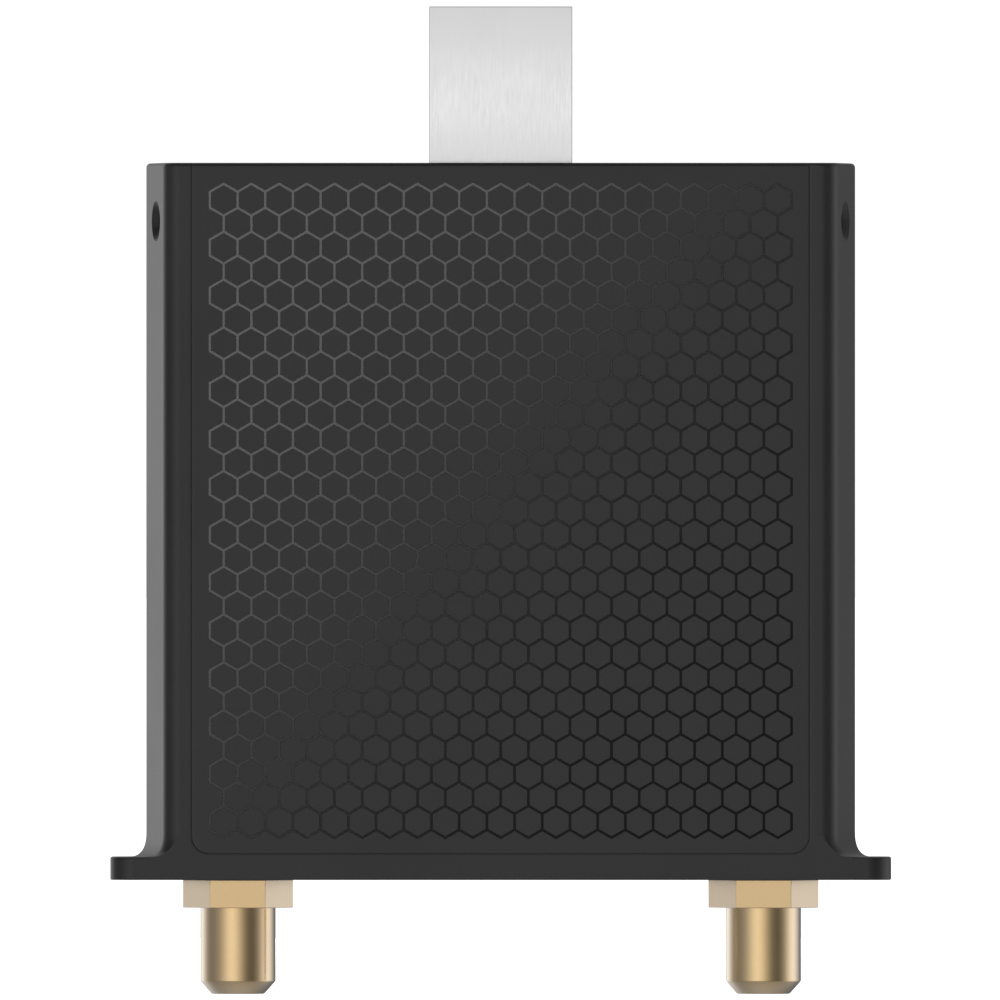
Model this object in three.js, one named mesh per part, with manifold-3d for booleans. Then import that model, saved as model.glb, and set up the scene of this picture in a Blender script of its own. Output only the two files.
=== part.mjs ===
// A plug-in cellular module, in millimetres: a flanged black housing with slanted sides, an inset
// front cover, a USB plug on top and two antenna jacks under the flange, with its board inside.
// +X is to the right, +Y to the back, +Z up. The origin is the centre of the flange's outer face.
import * as THREE from "three";
import { mergeVertices } from "three/addons/utils/BufferGeometryUtils.js";
import Module from "manifold-3d";

const wasm = await Module();
wasm.setup();

// Body and flange
const BODY_HEIGHT = 60;
const BODY_DEPTH = 10;
const BODY_WIDTH = 59.4;
const SIDE_SLANT = THREE.MathUtils.degToRad(12);
const FRONT_EDGE_RADIUS = 1.5;
const BACK_EDGE_RADIUS = 1.9;
const TOP_EDGE_RADIUS = 0.35;
const TOP_EDGE_STEPS = 2;
const FLANGE_LENGTH = 65.35;
const FLANGE_THICKNESS = 1.92;
const FLANGE_END_RADIUS = 2;
const FILLET_WIDTH = 1.45;
const FILLET_HEIGHT = 2.15;
const FILLET_POWER = 2.5;

// Walls and the hollow inside
const BACK_WALL = 1.2;
const TOP_WALL = 1.7;
const BOTTOM_WALL = 4;
const JACK_SEAT_DEPTH = 0.5;
const CAVITY_WIDTH = 50.8;
const CAVITY_CORNER = 1;

// Front cover and its seam
const COVER_THICKNESS = 1.2;
const COVER_WIDTH = 51.66;
const COVER_BOTTOM = 2.22;
const COVER_CORNER = 1.45;
const SEAM = 0.1;
const BOSS_RADIUS = 2;
const BOSS_X = 21;
const BOSS_HEIGHTS = [14, 54];

// Tapped hole in each side
const SIDE_HOLE_RADIUS = 1.4;
const SIDE_HOLE_MOUTH = 1.7;
const SIDE_HOLE_DEPTH = 3;
const SIDE_HOLE_Y = -1;
const SIDE_HOLE_Z = 55.13;

// Screws
const COVER_SCREW = { shank: 1, head: 1.9, headDepth: 1, length: 4.6 };
const BOARD_SCREW = { shank: 0.8, head: 1.5, headDepth: 0.9, length: 2.9 };
const SCREW_TIP = 0.2;
const HEXAGON = 6;
const DRIVE_RADIUS = 0.6;
const DRIVE_DEPTH = 0.5;
const POST_RADIUS = 1.8;
const POST_X = 21;
const POST_HEIGHTS = [22, 46];

// Printed circuit board
const BOARD_FRONT = 0.5;
const BOARD_THICKNESS = 1;
const BOARD_WIDTH = 49.2;
const BOARD_BOTTOM = 5.8;
const BOARD_TOP = 57.4;

// USB plug
const PLUG_WIDTH = 12;
const PLUG_HEIGHT = 4.5;
const PLUG_WALL = 0.3;
const PLUG_CORNER = 0.14;
const PLUG_INNER_CORNER = 0.05;
const PLUG_REACH = 13.1;
const PLUG_ROOT = 50;
const PLUG_WINDOW = { width: 2.5, height: 2, x: 3.25, fromEnd: 6.2 };
const PLUG_EAR = { width: 1.4, height: 3, thickness: 0.3, aboveRoot: 1 };
const TONGUE_FRONT = 0.05;
const TONGUE_ROOT = 61.3;
const TONGUE_SETBACK = 0.5;
const CONTACT_WIDTH = 1;
const CONTACT_THICKNESS = 0.25;
const CONTACT_FRONT = -0.1;
const CONTACT_TAIL = 2.2;
const CONTACTS = [
  { name: "power", x: -3.5, setback: 1.6 },
  { name: "data_minus", x: -1, setback: 2.6 },
  { name: "data_plus", x: 1, setback: 2.6 },
  { name: "ground", x: 3.5, setback: 1.6 },
];

// Antenna jacks
const JACK_X = 22;
const JACK_REACH = 9.56;
const JACK_RADIUS = 3.15;
const JACK_END_RADIUS = 2.2;
const JACK_CHAMFER = 1.08;
const JACK_BORE = 2.05;
const JACK_MOUTH_DEPTH = 1.9;
const JACK_BASE = 6.3;
const JACK_BASE_THICKNESS = 2;
const JACK_BASE_CORNER = 0.4;
const JACK_LEG = { width: 1, depth: 0.95, length: 3.5 };
const JACK_INSULATOR_RADIUS = 2;
const JACK_SOCKET_RADIUS = 0.62;
const JACK_SOCKET_BORE = 0.47;
const JACK_SOCKET_DEPTH = 3;
const JACK_PIN_RADIUS = 0.4;
const JACK_PIN_LENGTH = 3;
const NUT_ACROSS_FLATS = 8;
const NUT_THICKNESS = 2.35;
const NUT_BORE = 3.21;

// Radio shield and thermal pad
const SHIELD = { width: 34, height: 25, depth: 2.4, wall: 0.2, corner: 0.8, z: 30.5 };
const PAD = { width: 24, height: 18, corner: 1 };

// Soldered pieces on the board's front: width, height, thickness and place
const BOARD_PIECES = [
  { name: "modem_chip", width: 12, height: 12, thickness: 1.3, x: -6, z: 30.5 },
  { name: "transceiver_chip", width: 8, height: 8, thickness: 0.9, x: 7.5, z: 24.5 },
  { name: "memory_chip", width: 8, height: 6.5, thickness: 1, x: 8, z: 35.5 },
  { name: "clock_crystal", width: 3.2, height: 2.5, thickness: 0.8, x: -13, z: 21, metal: true },
  { name: "amplifier_left", width: 5, height: 5, thickness: 0.9, x: -9.5, z: 10.5 },
  { name: "amplifier_right", width: 5, height: 5, thickness: 0.9, x: 9.5, z: 10.5 },
  { name: "filter_left", width: 3.8, height: 3.8, thickness: 1.4, x: -15.5, z: 9.5, metal: true },
  { name: "filter_right", width: 3.8, height: 3.8, thickness: 1.4, x: 15.5, z: 9.5, metal: true },
  { name: "power_regulator", width: 4, height: 4, thickness: 0.9, x: -10.5, z: 52.5 },
  { name: "power_capacitor_1", width: 3.5, height: 2.8, thickness: 1.9, x: -15.5, z: 50.5 },
  { name: "power_capacitor_2", width: 3.5, height: 2.8, thickness: 1.9, x: -15.5, z: 54.5 },
  { name: "power_inductor", width: 6, height: 6, thickness: 2.8, x: 12.5, z: 52 },
  { name: "subscriber_chip", width: 6, height: 5, thickness: 0.85, x: 0, z: 11 },
  { name: "surge_protector", width: 2.4, height: 2, thickness: 0.8, x: 0, z: 45.3 },
];
const PIECE_CORNER = 0.15;
const PIECE_CORNER_STEPS = 2;

// Smoothness of round stretches, and how far a cutting tool runs past what it cuts
const CORNER_STEPS = 6;
const ROUND_STEPS = 32;
const SMALL_ROUND_STEPS = 16;
const OVERRUN = 1;

// Clearances between pieces
const LOOSE_FIT = 0.4;
const CLOSE_FIT = 0.1;
const FINE_FIT = 0.05;

// Places that follow from the driving dimensions
const FRONT = -BODY_DEPTH / 2;
const BACK = BODY_DEPTH / 2;
const COVER_BACK = FRONT + COVER_THICKNESS;
const CAVITY_BACK = BACK - BACK_WALL;
const CAVITY_TOP = BODY_HEIGHT - TOP_WALL;
const PLUG_END = BODY_HEIGHT + PLUG_REACH;
const BOARD_BACK = BOARD_FRONT + BOARD_THICKNESS;
const SHIELD_FRONT = BOARD_FRONT - SHIELD.depth;
const JACK_SEAT = BOTTOM_WALL - JACK_SEAT_DEPTH;
const JACK_SHOULDER = JACK_SEAT + JACK_BASE_THICKNESS;
const JACK_FACE = JACK_MOUTH_DEPTH - JACK_REACH;

const finish = (color, roughness, metalness) =>
  new THREE.MeshStandardMaterial({ color, roughness, metalness, flatShading: true });

const MATERIALS = {
  blackMetal: finish(0x343435, 0.6, 0.5),
  blackScrew: finish(0x222224, 0.4, 0.8),
  steel: finish(0xdadada, 0.3, 0.9),
  zincScrew: finish(0xb9bbbd, 0.35, 0.9),
  gold: finish(0xc8a468, 0.28, 1),
  contactGold: finish(0xe0b95c, 0.25, 1),
  whiteSleeve: finish(0xefece4, 0.6, 0),
  plugPlastic: finish(0x1c1c1e, 0.55, 0),
  boardGreen: finish(0x1e5a36, 0.5, 0),
  chipBlack: finish(0x1b1b1d, 0.6, 0),
  tinned: finish(0xc4c6c8, 0.35, 0.9),
  padGrey: finish(0x8d99a3, 0.9, 0),
};

// ---- Geometry helpers ----

// A closed three.js geometry as a solid that can be joined and cut.
function solid(geometry) {
  const bare = new THREE.BufferGeometry();
  bare.setAttribute("position", geometry.getAttribute("position"));
  bare.setIndex(geometry.getIndex());
  const merged = mergeVertices(bare);
  const mesh = new wasm.Mesh({
    numProp: 3,
    vertProperties: merged.getAttribute("position").array,
    triVerts: new Uint32Array(merged.getIndex().array),
  });
  return new wasm.Manifold(mesh);
}

// A joined or cut solid as a three.js geometry.
function geometryOf(shape) {
  const mesh = shape.getMesh();
  const geometry = new THREE.BufferGeometry();
  geometry.setAttribute("position", new THREE.BufferAttribute(mesh.vertProperties, 3));
  geometry.setIndex(new THREE.BufferAttribute(mesh.triVerts, 1));
  return geometry;
}

const joined = (first, ...others) => others.reduce((sum, other) => sum.add(other), first);
const cut = (first, ...tools) => tools.reduce((rest, tool) => rest.subtract(tool), first);

// An outline through counter-clockwise corners [x, y, radius], each corner rounded by its radius.
function roundedOutline(corners) {
  const shape = new THREE.Shape();
  corners.forEach(([x, y, radius], i) => {
    const corner = new THREE.Vector2(x, y);
    const [beforeX, beforeY] = corners.at(i - 1);
    const [afterX, afterY] = corners[(i + 1) % corners.length];
    const toBefore = new THREE.Vector2(beforeX, beforeY).sub(corner).normalize();
    const toAfter = new THREE.Vector2(afterX, afterY).sub(corner).normalize();
    const halfAngle = Math.acos(toBefore.dot(toAfter)) / 2;
    const toCentre = toBefore.clone().add(toAfter).normalize();
    const centre = toCentre.multiplyScalar(radius / Math.sin(halfAngle)).add(corner);
    const start = toBefore.multiplyScalar(radius / Math.tan(halfAngle)).add(corner).sub(centre);
    const end = toAfter.multiplyScalar(radius / Math.tan(halfAngle)).add(corner).sub(centre);
    shape.absarc(centre.x, centre.y, radius, start.angle(), end.angle(), false);
  });
  return shape;
}

// A rectangle with rounded corners, centred on a point.
function roundedRectangle(width, height, radius, x = 0, y = 0) {
  const left = x - width / 2;
  const right = x + width / 2;
  const low = y - height / 2;
  const high = y + height / 2;
  return roundedOutline([
    [left, low, radius],
    [right, low, radius],
    [right, high, radius],
    [left, high, radius],
  ]);
}

function circle(x, y, radius) {
  return new THREE.Path().absarc(x, y, radius, 0, 2 * Math.PI, false);
}

// An outline extruded without bevels. Each of its arcs becomes the given number of facets, which is
// twice the curveSegments that three.js takes.
function extruded(outline, depth, arcSteps = CORNER_STEPS) {
  return new THREE.ExtrudeGeometry(outline, {
    depth,
    bevelEnabled: false,
    curveSegments: arcSteps / 2,
  });
}

// A plan outline (x, y) extruded upwards from z = low to z = high.
function prismZ(outline, low, high) {
  return solid(extruded(outline, high - low).translate(0, 0, low));
}

// A front outline (x, z) extruded backwards from y = front to y = back.
function prismY(outline, front, back, arcSteps) {
  const geometry = extruded(outline, back - front, arcSteps);
  return solid(geometry.rotateX(Math.PI / 2).translate(0, back, 0));
}

// A side outline (y, z) extruded to the right from x = left to x = right.
function prismX(outline, left, right) {
  const [alongX, alongY, alongZ] = [0, 1, 2].map((i) => new THREE.Vector3().setComponent(i, 1));
  const turn = new THREE.Matrix4().makeBasis(alongY, alongZ, alongX);
  return solid(extruded(outline, right - left).applyMatrix4(turn).translate(left, 0, 0));
}

function box(x, y, z) {
  const geometry = new THREE.BoxGeometry(x[1] - x[0], y[1] - y[0], z[1] - z[0]);
  return solid(geometry.translate((x[0] + x[1]) / 2, (y[0] + y[1]) / 2, (z[0] + z[1]) / 2));
}

// A span of a given length about its middle.
const about = (middle, length) => [middle - length / 2, middle + length / 2];

// A round rod along Y, from y = front to y = back.
function rodY(radius, x, z, front, back, steps = SMALL_ROUND_STEPS) {
  const geometry = new THREE.CylinderGeometry(radius, radius, back - front, steps);
  return solid(geometry.translate(x, (front + back) / 2, z));
}

// A round rod along Z, from z = low to z = high.
function rodZ(radius, x, low, high, steps = ROUND_STEPS) {
  const geometry = new THREE.CylinderGeometry(radius, radius, high - low, steps);
  return solid(geometry.rotateX(Math.PI / 2).translate(x, 0, (low + high) / 2));
}

// A profile of [radius, height] points turned about the Z axis.
function turnedZ(profile, steps = ROUND_STEPS) {
  const points = profile.map(([radius, height]) => new THREE.Vector2(radius, height));
  return solid(new THREE.LatheGeometry(points, steps).rotateX(Math.PI / 2));
}

// ---- Housing and cover ----

// Half the body's width on its slanted side, at depth y.
function sideX(y) {
  const touchX = BODY_WIDTH / 2 - BACK_EDGE_RADIUS * (1 - Math.cos(SIDE_SLANT));
  const touchY = BACK - BACK_EDGE_RADIUS * (1 + Math.sin(SIDE_SLANT));
  return touchX + (y - touchY) * Math.tan(SIDE_SLANT);
}

// The body without its flange, with its top edges rounded.
function bodyBlock() {
  const outline = roundedOutline([
    [-sideX(FRONT), FRONT, FRONT_EDGE_RADIUS],
    [sideX(FRONT), FRONT, FRONT_EDGE_RADIUS],
    [sideX(BACK), BACK, BACK_EDGE_RADIUS],
    [-sideX(BACK), BACK, BACK_EDGE_RADIUS],
  ]);
  const start = FLANGE_THICKNESS / 2;
  const geometry = new THREE.ExtrudeGeometry(outline, {
    depth: BODY_HEIGHT - start - 2 * TOP_EDGE_RADIUS,
    curveSegments: CORNER_STEPS / 2,
    bevelThickness: TOP_EDGE_RADIUS,
    bevelSize: TOP_EDGE_RADIUS,
    bevelOffset: -TOP_EDGE_RADIUS,
    bevelSegments: TOP_EDGE_STEPS,
  });
  return solid(geometry.translate(0, 0, start + TOP_EDGE_RADIUS));
}

function flangePlate(height) {
  const outline = roundedRectangle(FLANGE_LENGTH, BODY_DEPTH, FLANGE_END_RADIUS);
  return prismZ(outline, 0, height);
}

// The fillet's curve from the flange up, as distances from the body's side and heights.
function filletCurve() {
  return Array.from({ length: CORNER_STEPS + 1 }, (_, i) => {
    const angle = (i / CORNER_STEPS) * (Math.PI / 2);
    return [
      FILLET_WIDTH * (1 - Math.sin(angle) ** (2 / FILLET_POWER)),
      FLANGE_THICKNESS + FILLET_HEIGHT * (1 - Math.cos(angle) ** (2 / FILLET_POWER)),
    ];
  });
}

// A trumpet foot around one rounded body edge, widening down to the flange.
function filletFoot(edgeRadius, x, y) {
  const curve = filletCurve().map(([across, height]) => [edgeRadius + across, height]);
  const top = curve.at(-1)[1];
  return turnedZ([[0, 0], [curve[0][0], 0], ...curve, [0, top]]).translate([x, y, 0]);
}

// The straight fillet along one slanted side, between its two rounded edges.
function filletRun(start, end) {
  const curve = filletCurve();
  const top = curve.at(-1)[1];
  const corners = [[-FILLET_WIDTH, 0], [FILLET_WIDTH, 0], ...curve, [-FILLET_WIDTH, top]];
  const outline = new THREE.Shape(corners.map(([across, height]) => new THREE.Vector2(across, height)));
  const length = end.distanceTo(start);
  const geometry = extruded(outline, length);
  geometry.rotateX(Math.PI / 2).translate(0, length, 0);
  geometry.rotateZ(-SIDE_SLANT).translate(start.x, start.y, 0);
  return solid(geometry);
}

// The fillet between the right side of the body and the flange, kept within the flange's outline.
function rightFillet() {
  const normal = new THREE.Vector2(Math.cos(SIDE_SLANT), -Math.sin(SIDE_SLANT));
  const backCentre = new THREE.Vector2(BODY_WIDTH / 2 - BACK_EDGE_RADIUS, BACK - BACK_EDGE_RADIUS);
  const frontY = FRONT + FRONT_EDGE_RADIUS;
  const frontX = sideX(frontY) - FRONT_EDGE_RADIUS / Math.cos(SIDE_SLANT);
  const frontCentre = new THREE.Vector2(frontX, frontY);
  const start = normal.clone().multiplyScalar(FRONT_EDGE_RADIUS).add(frontCentre);
  const end = normal.clone().multiplyScalar(BACK_EDGE_RADIUS).add(backCentre);
  const foot = joined(
    filletFoot(FRONT_EDGE_RADIUS, frontCentre.x, frontCentre.y),
    filletFoot(BACK_EDGE_RADIUS, backCentre.x, backCentre.y),
    filletRun(start, end),
  );
  return foot.intersect(flangePlate(FLANGE_THICKNESS + FILLET_HEIGHT));
}

// The cutter for the tapped hole in the right side, square to the slanted face.
function sideHoleTool() {
  const mouthDepth = SIDE_HOLE_MOUTH - SIDE_HOLE_RADIUS;
  const profile = [
    [0, -SIDE_HOLE_DEPTH],
    [SIDE_HOLE_RADIUS, -SIDE_HOLE_DEPTH],
    [SIDE_HOLE_RADIUS, -mouthDepth],
    [SIDE_HOLE_MOUTH, 0],
    [SIDE_HOLE_MOUTH, OVERRUN],
    [0, OVERRUN],
  ];
  const points = profile.map(([radius, height]) => new THREE.Vector2(radius, height));
  const geometry = new THREE.LatheGeometry(points, SMALL_ROUND_STEPS);
  geometry.rotateZ(-Math.PI / 2).rotateZ(-SIDE_SLANT);
  return solid(geometry.translate(sideX(SIDE_HOLE_Y), SIDE_HOLE_Y, SIDE_HOLE_Z));
}

// Calls a maker for every place of a left and right, low and high set of four.
function atFour(x, heights, make) {
  return [-x, x].flatMap((placeX) => heights.map((z) => make(placeX, z)));
}

// The U-shaped recess that the cover lies in, open at the top of the body.
function coverRecess() {
  const half = COVER_WIDTH / 2 + SEAM;
  const low = COVER_BOTTOM - SEAM;
  const high = BODY_HEIGHT + OVERRUN;
  const outline = roundedOutline([
    [-half, low, COVER_CORNER + SEAM],
    [half, low, COVER_CORNER + SEAM],
    [half, high, SEAM],
    [-half, high, SEAM],
  ]);
  return prismY(outline, FRONT - OVERRUN, COVER_BACK);
}

function cavity() {
  const height = CAVITY_TOP - BOTTOM_WALL;
  const middle = (CAVITY_TOP + BOTTOM_WALL) / 2;
  const outline = roundedRectangle(CAVITY_WIDTH, height, CAVITY_CORNER, 0, middle);
  return prismY(outline, COVER_BACK - OVERRUN, CAVITY_BACK);
}

function plugSlot() {
  const width = PLUG_WIDTH + 2 * FINE_FIT;
  const height = PLUG_HEIGHT + 2 * FINE_FIT;
  const outline = roundedRectangle(width, height, PLUG_CORNER);
  return prismZ(outline, CAVITY_TOP - OVERRUN, BODY_HEIGHT + OVERRUN);
}

// The hole for one jack's barrel, and the square seat that keeps its base from turning.
function jackHole(x) {
  const width = JACK_BASE + 2 * CLOSE_FIT;
  return joined(
    rodZ(JACK_RADIUS + CLOSE_FIT, x, -OVERRUN, BOTTOM_WALL),
    box(about(x, width), about(0, width), [JACK_SEAT, JACK_SHOULDER + CLOSE_FIT]),
  );
}

// The hole and countersink for one cover screw, through the back wall.
function coverScrewHole(x, z) {
  const { shank, head, headDepth } = COVER_SCREW;
  const profile = [
    [0, CAVITY_BACK - OVERRUN],
    [shank + CLOSE_FIT, CAVITY_BACK - OVERRUN],
    [shank + CLOSE_FIT, BACK - headDepth],
    [head + CLOSE_FIT, BACK],
    [head + CLOSE_FIT, BACK + OVERRUN],
    [0, BACK + OVERRUN],
  ];
  const points = profile.map(([radius, y]) => new THREE.Vector2(radius, y));
  return solid(new THREE.LatheGeometry(points, SMALL_ROUND_STEPS).translate(x, 0, z));
}

function boardPost(x, z) {
  const pilot = BOARD_SCREW.shank + CLOSE_FIT;
  const pilotEnd = BOARD_FRONT + BOARD_SCREW.length;
  return cut(
    rodY(POST_RADIUS, x, z, BOARD_BACK, CAVITY_BACK + BACK_WALL / 2),
    rodY(pilot, x, z, BOARD_BACK - OVERRUN, pilotEnd),
  );
}

function housing() {
  const fillet = rightFillet();
  const sideHole = sideHoleTool();
  const outside = joined(
    bodyBlock(),
    flangePlate(FLANGE_THICKNESS),
    fillet,
    fillet.mirror([1, 0, 0]),
  );
  const hollow = cut(
    outside,
    coverRecess(),
    cavity(),
    plugSlot(),
    sideHole,
    sideHole.mirror([1, 0, 0]),
    jackHole(-JACK_X),
    jackHole(JACK_X),
    ...atFour(BOSS_X, BOSS_HEIGHTS, coverScrewHole),
  );
  return joined(hollow, ...atFour(POST_X, POST_HEIGHTS, boardPost));
}

// The cover takes the rounded top edge of the body it is level with.
function frontCover() {
  const half = COVER_WIDTH / 2;
  const high = BODY_HEIGHT + OVERRUN;
  const outline = roundedOutline([
    [-half, COVER_BOTTOM, COVER_CORNER],
    [half, COVER_BOTTOM, COVER_CORNER],
    [half, high, SEAM],
    [-half, high, SEAM],
  ]);
  const plate = prismY(outline, FRONT - OVERRUN, COVER_BACK).intersect(bodyBlock());
  const bossEnd = CAVITY_BACK - CLOSE_FIT;
  const pilot = COVER_SCREW.shank + FINE_FIT;
  const pilotStart = BACK - COVER_SCREW.length - CLOSE_FIT;
  return cut(
    joined(
      plate,
      ...atFour(BOSS_X, BOSS_HEIGHTS, (x, z) =>
        rodY(BOSS_RADIUS, x, z, COVER_BACK - COVER_THICKNESS / 2, bossEnd),
      ),
    ),
    ...atFour(BOSS_X, BOSS_HEIGHTS, (x, z) => rodY(pilot, x, z, pilotStart, BACK)),
  );
}

// A countersunk screw along Y with its head's face at y = 0 and its tip towards -Y.
function countersunkScrew({ shank, head, headDepth, length }) {
  const profile = [
    [0, -length],
    [shank - SCREW_TIP, -length],
    [shank, SCREW_TIP - length],
    [shank, -headDepth],
    [head, 0],
    [0, 0],
  ];
  const points = profile.map(([radius, y]) => new THREE.Vector2(radius, y));
  const blank = solid(new THREE.LatheGeometry(points, SMALL_ROUND_STEPS));
  return cut(blank, driveSocket(-DRIVE_DEPTH, OVERRUN));
}

// A pan-head screw along Y with its head's seat at y = 0 and its tip towards +Y.
function panScrew({ shank, head, headDepth, length }) {
  const profile = [
    [0, -headDepth],
    [head - headDepth / 2, -headDepth],
    [head, -headDepth / 2],
    [head, 0],
    [shank, 0],
    [shank, length],
    [0, length],
  ];
  const points = profile.map(([radius, y]) => new THREE.Vector2(radius, y));
  const blank = solid(new THREE.LatheGeometry(points, SMALL_ROUND_STEPS));
  return cut(blank, driveSocket(-headDepth - OVERRUN, DRIVE_DEPTH - headDepth));
}

// A six-sided driver socket along Y.
function driveSocket(front, back) {
  return rodY(DRIVE_RADIUS, 0, 0, front, back, HEXAGON);
}

// ---- Board and what is soldered to it ----

function mainBoard() {
  const notch = PLUG_WIDTH + LOOSE_FIT;
  const outline = roundedRectangle(
    BOARD_WIDTH,
    BOARD_TOP - BOARD_BOTTOM,
    CAVITY_CORNER,
    0,
    (BOARD_TOP + BOARD_BOTTOM) / 2,
  );
  const screwHole = BOARD_SCREW.shank + CLOSE_FIT;
  const bossHole = BOSS_RADIUS + LOOSE_FIT;
  outline.holes.push(...atFour(POST_X, POST_HEIGHTS, (x, z) => circle(x, z, screwHole)));
  outline.holes.push(...atFour(BOSS_X, BOSS_HEIGHTS, (x, z) => circle(x, z, bossHole)));
  return cut(
    prismY(outline, BOARD_FRONT, BOARD_BACK, SMALL_ROUND_STEPS),
    box(about(0, notch), [FRONT, BACK], [PLUG_ROOT - LOOSE_FIT, BOARD_TOP + OVERRUN]),
  );
}

function boardPiece({ width, height, thickness }) {
  const outline = roundedRectangle(width, height, PIECE_CORNER);
  return prismY(outline, -thickness, 0, PIECE_CORNER_STEPS);
}

// A stamped can, open towards the board.
function radioShield() {
  const { width, height, depth, wall, corner } = SHIELD;
  const inside = roundedRectangle(width - 2 * wall, height - 2 * wall, corner - wall);
  return cut(
    prismY(roundedRectangle(width, height, corner), -depth, 0),
    prismY(inside, wall - depth, OVERRUN),
  );
}

function thermalPad() {
  return prismY(roundedRectangle(PAD.width, PAD.height, PAD.corner), COVER_BACK, SHIELD_FRONT);
}

// ---- USB plug ----

function plugOutline(inset) {
  const width = PLUG_WIDTH - 2 * inset;
  const height = PLUG_HEIGHT - 2 * inset;
  return roundedRectangle(width, height, Math.max(PLUG_CORNER - inset, PLUG_INNER_CORNER));
}

// The folded shell: a tube with two latch windows in its back, and two ears on the board.
function plugShell() {
  const { width, height, x, fromEnd } = PLUG_WINDOW;
  const windowBack = [PLUG_HEIGHT / 2 - 2 * PLUG_WALL, PLUG_HEIGHT / 2 + OVERRUN];
  const windowHeights = about(PLUG_END - fromEnd, height);
  const earReach = PLUG_WIDTH / 2 + PLUG_EAR.width;
  const earY = [BOARD_FRONT - PLUG_EAR.thickness, BOARD_FRONT];
  const earLow = PLUG_ROOT + PLUG_EAR.aboveRoot;
  const tube = joined(
    prismZ(plugOutline(0), PLUG_ROOT, PLUG_END),
    box([-earReach, earReach], earY, [earLow, earLow + PLUG_EAR.height]),
  );
  return cut(
    tube,
    prismZ(plugOutline(PLUG_WALL), PLUG_ROOT - OVERRUN, PLUG_END + OVERRUN),
    ...[-x, x].map((place) => box(about(place, width), windowBack, windowHeights)),
  );
}

// The plastic block that fills the shell's root, and the tongue that carries the contacts.
function plugInsulator() {
  const inset = PLUG_WALL + FINE_FIT;
  const halfHeight = PLUG_HEIGHT / 2 - inset;
  const tongueHeight = halfHeight - TONGUE_FRONT;
  const tongue = roundedRectangle(
    PLUG_WIDTH - 2 * inset,
    tongueHeight,
    PLUG_INNER_CORNER,
    0,
    TONGUE_FRONT + tongueHeight / 2,
  );
  const channelFront = CONTACT_FRONT - CLOSE_FIT;
  const channelBack = CONTACT_FRONT + CONTACT_THICKNESS + CLOSE_FIT;
  return cut(
    joined(
      prismZ(plugOutline(inset), PLUG_ROOT, TONGUE_ROOT),
      prismZ(tongue, PLUG_ROOT, PLUG_END - TONGUE_SETBACK),
    ),
    ...CONTACTS.map(({ x, setback }) =>
      box(
        about(x, CONTACT_WIDTH + CLOSE_FIT),
        [channelFront, channelBack],
        [PLUG_ROOT - OVERRUN, PLUG_END - setback + CLOSE_FIT],
      ),
    ),
  );
}

// One contact strip: flat on the tongue, stepped back to its tail on the board.
function plugContact(x, setback) {
  const bladeBack = CONTACT_FRONT + CONTACT_THICKNESS;
  const tailFront = BOARD_FRONT - CONTACT_THICKNESS;
  const tailEnd = PLUG_ROOT - CONTACT_TAIL;
  const step = BOARD_FRONT - bladeBack;
  const outline = new THREE.Shape([
    new THREE.Vector2(tailFront, tailEnd),
    new THREE.Vector2(BOARD_FRONT, tailEnd),
    new THREE.Vector2(BOARD_FRONT, PLUG_ROOT - LOOSE_FIT - step),
    new THREE.Vector2(bladeBack, PLUG_ROOT - LOOSE_FIT),
    new THREE.Vector2(bladeBack, PLUG_END - setback),
    new THREE.Vector2(CONTACT_FRONT, PLUG_END - setback),
    new THREE.Vector2(CONTACT_FRONT, PLUG_ROOT - LOOSE_FIT),
    new THREE.Vector2(tailFront, PLUG_ROOT - LOOSE_FIT - step),
  ]);
  return prismX(outline, x - CONTACT_WIDTH / 2, x + CONTACT_WIDTH / 2);
}

// ---- Antenna jacks, each about its own Z axis ----

function jackBody() {
  const barrel = turnedZ([
    [0, -JACK_REACH],
    [JACK_END_RADIUS, -JACK_REACH],
    [JACK_RADIUS, JACK_CHAMFER - JACK_REACH],
    [JACK_RADIUS, JACK_SEAT + JACK_BASE_THICKNESS / 2],
    [0, JACK_SEAT + JACK_BASE_THICKNESS / 2],
  ]);
  const halfBase = JACK_BASE / 2;
  const base = prismZ(
    roundedRectangle(JACK_BASE, JACK_BASE, JACK_BASE_CORNER),
    JACK_SEAT,
    JACK_SHOULDER,
  );
  const legZ = [JACK_SEAT + JACK_BASE_THICKNESS / 2, JACK_SHOULDER + JACK_LEG.length];
  const frontLeg = BOARD_FRONT - FINE_FIT;
  const backLeg = BOARD_BACK + FINE_FIT;
  const legRows = [
    [frontLeg - JACK_LEG.depth, frontLeg],
    [backLeg, backLeg + JACK_LEG.depth],
  ];
  const legX = halfBase - JACK_LEG.width / 2;
  const legs = legRows.flatMap((row) =>
    [-legX, legX].map((x) => box(about(x, JACK_LEG.width), row, legZ)),
  );
  return cut(
    joined(barrel, base, ...legs),
    rodZ(JACK_BORE, 0, -JACK_REACH - OVERRUN, JACK_SHOULDER + OVERRUN),
  );
}

function jackInsulator() {
  return cut(
    rodZ(JACK_INSULATOR_RADIUS, 0, JACK_FACE, JACK_SHOULDER),
    rodZ(JACK_SOCKET_RADIUS + FINE_FIT, 0, JACK_FACE - OVERRUN, JACK_SHOULDER + OVERRUN),
  );
}

// The centre contact: a socket at the mouth, and a thinner pin that lies on the board.
function jackSocket() {
  return turnedZ(
    [
      [0, JACK_FACE + JACK_SOCKET_DEPTH],
      [JACK_SOCKET_BORE, JACK_FACE + JACK_SOCKET_DEPTH],
      [JACK_SOCKET_BORE, JACK_FACE],
      [JACK_SOCKET_RADIUS, JACK_FACE],
      [JACK_SOCKET_RADIUS, JACK_SHOULDER],
      [JACK_PIN_RADIUS, JACK_SHOULDER],
      [JACK_PIN_RADIUS, JACK_SHOULDER + JACK_PIN_LENGTH],
      [0, JACK_SHOULDER + JACK_PIN_LENGTH],
    ],
    SMALL_ROUND_STEPS,
  );
}

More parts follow.
